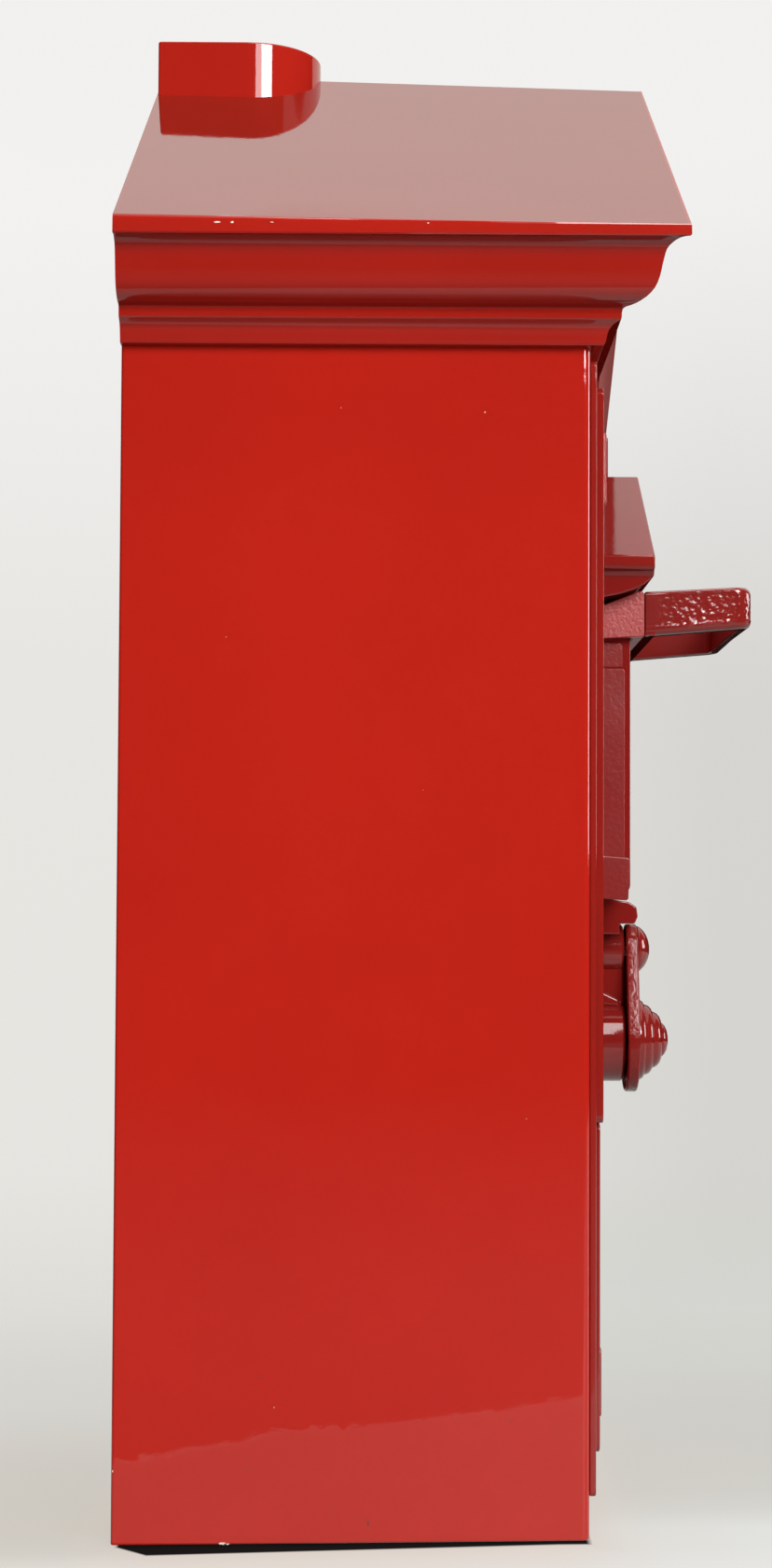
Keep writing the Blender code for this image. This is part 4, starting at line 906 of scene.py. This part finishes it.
def table_top():
    """The paper the box stands on, lit by a painted glow: paler beside it, dark with painted shadow where they touch.
    """
    bm = bmesh.new()
    corners = [(-2.5, -2.5), (2.5, -2.5), (2.5, 2.5), (-2.5, 2.5)]
    bm.faces.new([bm.verts.new((x, y, -0.0002 - 0.0124 * (y + 0.039))) for x, y in corners])
    obj = from_bm("table_rest", bm, 0)
    g = Graph("table_rest_look")
    split = g.add("ShaderNodeSeparateXYZ")
    where = g.add("ShaderNodeNewGeometry").outputs["Position"]
    g.link(where, split.inputs[0])
    # how far outside the foot of the box this spot lies
    across = g.math("SUBTRACT", g.math("ABSOLUTE", split.outputs["X"]), 0.1265)
    along = g.math("SUBTRACT", g.math("ABSOLUTE", g.math("SUBTRACT", split.outputs["Y"], y0 - 0.0681)), 0.0681)
    outside = g.math("MAXIMUM", across, along)
    # the painted shadow in the gap under the bottom edge widens towards the wall side
    gap_edge = g.ramp(split.outputs["Y"], -0.030, 0.086, -0.0005, 0.0076)
    gap_edge = g.math("MULTIPLY", gap_edge, g.ramp(split.outputs["Y"], 0.086, 0.0955, 1.0, -0.3))
    beyond = g.math("SUBTRACT", outside, gap_edge)
    # painted contact shadow: glow and base fall almost to black under and just beside the foot of the box
    touch = g.ramp(beyond, -0.0002, 0.0014, 0.01, 0.96)
    touch = g.math("ADD", touch, g.ramp(beyond, 0.0012, 0.012, 0.0, 0.04))
    # painted light and shade on the floor: glow tones along X, darker where the box's shadow lies and paler away from
    # it, one set for each side of the box
    tones = []
    for stops in (
            [(-0.16, 0.72, 0.70, 0.66), (-0.150, 0.70, 0.675, 0.63), (-0.131, 0.612, 0.582, 0.53), (-0.108, 0.598, 0.560, 0.505), (-0.071, 0.600, 0.567, 0.512), (-0.03, 0.604, 0.573, 0.525),
             (0.015, 0.622, 0.600, 0.555), (0.083, 0.648, 0.640, 0.603), (0.163, 0.665, 0.653, 0.615), (0.31, 0.712, 0.698, 0.655), (0.68, 0.758, 0.730, 0.688)],
            [(-0.16, 0.760, 0.755, 0.735), (-0.150, 0.750, 0.745, 0.725), (-0.131, 0.730, 0.735, 0.705), (-0.108, 0.720, 0.725, 0.700), (-0.085, 0.630, 0.625, 0.590), (-0.060, 0.592, 0.585, 0.545),
             (-0.03, 0.585, 0.580, 0.535), (0.015, 0.582, 0.574, 0.535), (0.083, 0.588, 0.580, 0.545), (0.163, 0.608, 0.614, 0.572), (0.31, 0.628, 0.636, 0.600), (0.68, 0.640, 0.646, 0.610)]):
        node = g.add("ShaderNodeValToRGB")
        g.link(g.ramp(split.outputs["X"], -0.16, 0.70), node.inputs["Fac"])
        while len(node.color_ramp.elements) < len(stops):
            node.color_ramp.elements.new(0.5)
        for element, (x, r, green, b) in zip(node.color_ramp.elements, stops):
            element.position = (x + 0.16) / 0.86
        for element, (x, r, green, b) in zip(node.color_ramp.elements, stops):
            element.color = (r, green, b, 1)
        tones.append(node.outputs["Color"])
    tone = g.mix(g.ramp(split.outputs["Y"], 0.08, -0.10), tones[0], tones[1])
    # painted bounce light: warm light thrown back by the red side, tinted into the floor's glow
    painted_bounce = g.math("MULTIPLY", g.ramp(beyond, 0.0, 0.05, 1.0, 0.0), g.math("MULTIPLY", g.ramp(split.outputs["Y"], 0.11, 0.08), g.ramp(split.outputs["Y"], -0.062, -0.030)))
    tone = g.mix(g.math("MULTIPLY", painted_bounce, 0.85), tone, (0.715, 0.630, 0.575))
    g.set("Base", g.mix(touch, (0.004, 0.003, 0.003), (0.05, 0.049, 0.046)))
    g.set("Roughness", 0.7)
    g.set("Specular IOR Level", 0.0)
    g.link(tone, g.shader.inputs["Emission Color"])
    g.link(touch, g.shader.inputs["Emission Strength"])
    gap = g.add("ShaderNodeVectorMath", operation="DISTANCE")
    g.link(where, gap.inputs[0])
    gap.inputs[1].default_value = (0, 0, 0)
    g.set("Alpha", g.ramp(gap.outputs["Value"], 0.34, 0.9, 1.0, 0.0))
    obj.data.materials.append(g.mat)
    return obj


def torn(points, depth, step=0.0022):
    """A wandering line through these points, for the paper's edge that the side panel mirrors."""
    out = []
    for p, q in zip(points, points[1:]):
        p, q = Vector(p), Vector(q)
        n = max(2, int((q - p).length / step))
        side = Vector((-(q - p).y, (q - p).x)).normalized()
        for k in range(n):
            spot = p + (q - p) * (k / n)
            jog = 0.35 * noise.noise(Vector((spot.x * 90.0, spot.y * 90.0, 2.0))) + 0.9 * noise.noise(Vector((spot.x * 300.0, spot.y * 300.0, 5.0)))
            out.append(spot + side * depth * jog)
    return out + [Vector(points[-1])]


def strip(name, line, width, glow_at):
    bm = bmesh.new()
    rows = []
    for k, spot in enumerate(line):
        near_end = line[max(0, k - 1)]
        far_end = line[min(len(line) - 1, k + 1)]
        side = Vector((-(far_end - near_end).y, (far_end - near_end).x)).normalized()
        wide = width * (0.7 + 0.6 * noise.noise(Vector((spot.x * 45.0, spot.y * 45.0, 9.0))))
        rows.append((bm.verts.new((spot.x, spot.y, -0.00015)), bm.verts.new((spot.x + side.x * wide, spot.y + side.y * wide, -0.00015))))
    for (a, b), (c, d) in zip(rows, rows[1:]):
        bm.faces.new((a, b, d, c))
    obj = from_bm(name, bm, 0)
    g = Graph(name + "_look")
    g.set("Base", (0.12, 0.118, 0.11))
    g.set("Emission Color", (0.99, 0.98, 0.94))
    g.set("Emission Strength", glow_at)
    obj.data.materials.append(g.mat)
    obj.visible_camera = obj.visible_diffuse = obj.visible_shadow = False
    return obj


rest = table_top()
rest.visible_glossy = rest.visible_shadow = False
table, glow = (0.16, 0.158, 0.15), 0.53
near = flat("table_near", [(x0, y0, -0.0002), (x0, -1.5, -0.0002), (1.4, -1.5, -0.0002), (1.4, y0 + 0.6, -0.0002), (x0, y0 + 0.16, -0.0002)], table, 0.55, None, glow)
paper_edge = torn([(x0, 0.30), (-0.205, 0.16), (-0.2375, 0.121), (-0.2395, 0.108), (-0.2445, 0.098), (-0.2560, 0.090), (-0.2690, 0.0734), (-0.2900, 0.0535), (-0.2955, 0.0353), (-0.3010, 0.0173),
                   (-0.3159, -0.0015), (-0.3266, -0.0204), (-0.3490, -0.048), (-0.372, -0.085), (-0.72, -0.54)], 0.0085)
apron = flat("table_apron", [(x0, -1.5, -0.0002)] + [(s.x, s.y, -0.0002) for s in paper_edge] + [(-0.72, -1.5, -0.0002)], (0.12, 0.118, 0.11), 0.55, None, 0.42)
rim_light = strip("table_apron_rim", paper_edge, 0.0065, 0.62)
dark = flat("table_dark", [(-2.2, -2.0, -0.0006), (1.6, -2.0, -0.0006), (1.6, 1.8, -0.0006), (-2.2, 1.8, -0.0006)], (0.05, 0.05, 0.05), 0.7, ((0, 0, 0), 0.6, 2.2), 0.045)
dark.visible_camera = dark.visible_diffuse = dark.visible_shadow = False
near.visible_camera = apron.visible_camera = False
near.visible_shadow = apron.visible_shadow = False
near.visible_diffuse = apron.visible_diffuse = rest.visible_diffuse = False


def soft_window(name, azimuth, elevation, wide, tall, radiance, far=1.7, **more):
    """A softbox seen from the box at this bearing (degrees from -X towards -Y) and height, this many degrees across."""
    a, e = math.radians(azimuth), math.radians(elevation)
    aim = Vector((-0.10, -0.02, 0.26))
    where = aim + far * Vector((-math.cos(a) * math.cos(e), -math.sin(a) * math.cos(e), math.sin(e)))
    w, h = 2 * far * math.tan(math.radians(wide / 2)), 2 * far * math.tan(math.radians(tall / 2))
    obj = area(name, where, aim, (w, h), radiance * math.pi * w * h, **more)
    # the card's long side stands upright
    z = (where - aim).normalized()
    x = Vector((0, 0, 1)).cross(z).normalized()
    obj.rotation_quaternion = Matrix((x, z.cross(x), z)).transposed().to_quaternion()
    return obj


def glowing_card(name, corners, low_z, high_z, low, high, tint):
    """Paper lit from elsewhere: only reflections see it."""
    bm = bmesh.new()
    bm.faces.new([bm.verts.new(c) for c in corners])
    obj = from_bm(name, bm, 0)
    g = Graph(name + "_look")
    split = g.add("ShaderNodeSeparateXYZ")
    g.link(g.add("ShaderNodeNewGeometry").outputs["Position"], split.inputs[0])
    g.set("Base", (0.0, 0.0, 0.0))
    g.set("Specular IOR Level", 0.0)
    g.set("Emission Color", tint)
    g.link(g.ramp(split.outputs["Z"], low_z, high_z, low, high), g.shader.inputs["Emission Strength"])
    obj.data.materials.append(g.mat)
    for kind in ("camera", "diffuse", "shadow", "transmission", "volume_scatter"):
        setattr(obj, "visible_" + kind, False)
    return obj


soft_window("window_near", 13.5, 31.0, 9.0, 34.0, 8.5, diffuse=False)
soft_window("window_far", 28.0, 31.0, 17.0, 34.0, 23.0, diffuse=False)
soft_window("key_box", 22.0, 22.0, 26.0, 26.0, 11.4, far=2.2, glossy=False)
soft_window("overhead", 20.0, 80.0, 16.0, 16.0, 9.0, diffuse=False)
soft_window("top_light", 12.0, 74.0, 22.0, 22.0, 9.5, glossy=False)
soft_window("low_fill", -8.0, 6.0, 40.0, 34.0, 2.2, glossy=False)
soft_window("bounce", 0.0, -32.0, 50.0, 36.0, 0.95, glossy=False)
soft_window("fill", 62.0, 25.0, 40.0, 40.0, 0.9, glossy=False)
soft_window("front_card", 101.0, 9.0, 18.0, 20.0, 9.0)
glowing_card("ceiling_card", [(-0.9, -1.6, 2.0), (1.3, -1.6, 2.0), (1.3, 1.4, 2.0), (-0.9, 1.4, 2.0)], 0.0, 1.0, 1.1, 1.1, (1.0, 0.985, 0.95))
glowing_card("sweep_card", [(1.35, -1.9, 0.75), (1.35, 1.7, 0.75), (1.35, 1.7, 3.2), (1.35, -1.9, 3.2)], 1.60, 1.86, 0.93, 1.15, (1.0, 0.985, 0.925))

view = bpy.context.scene.view_settings
view.view_transform = "Standard"
view.look = "None"
view.exposure = 0.0
view.gamma = 1.0
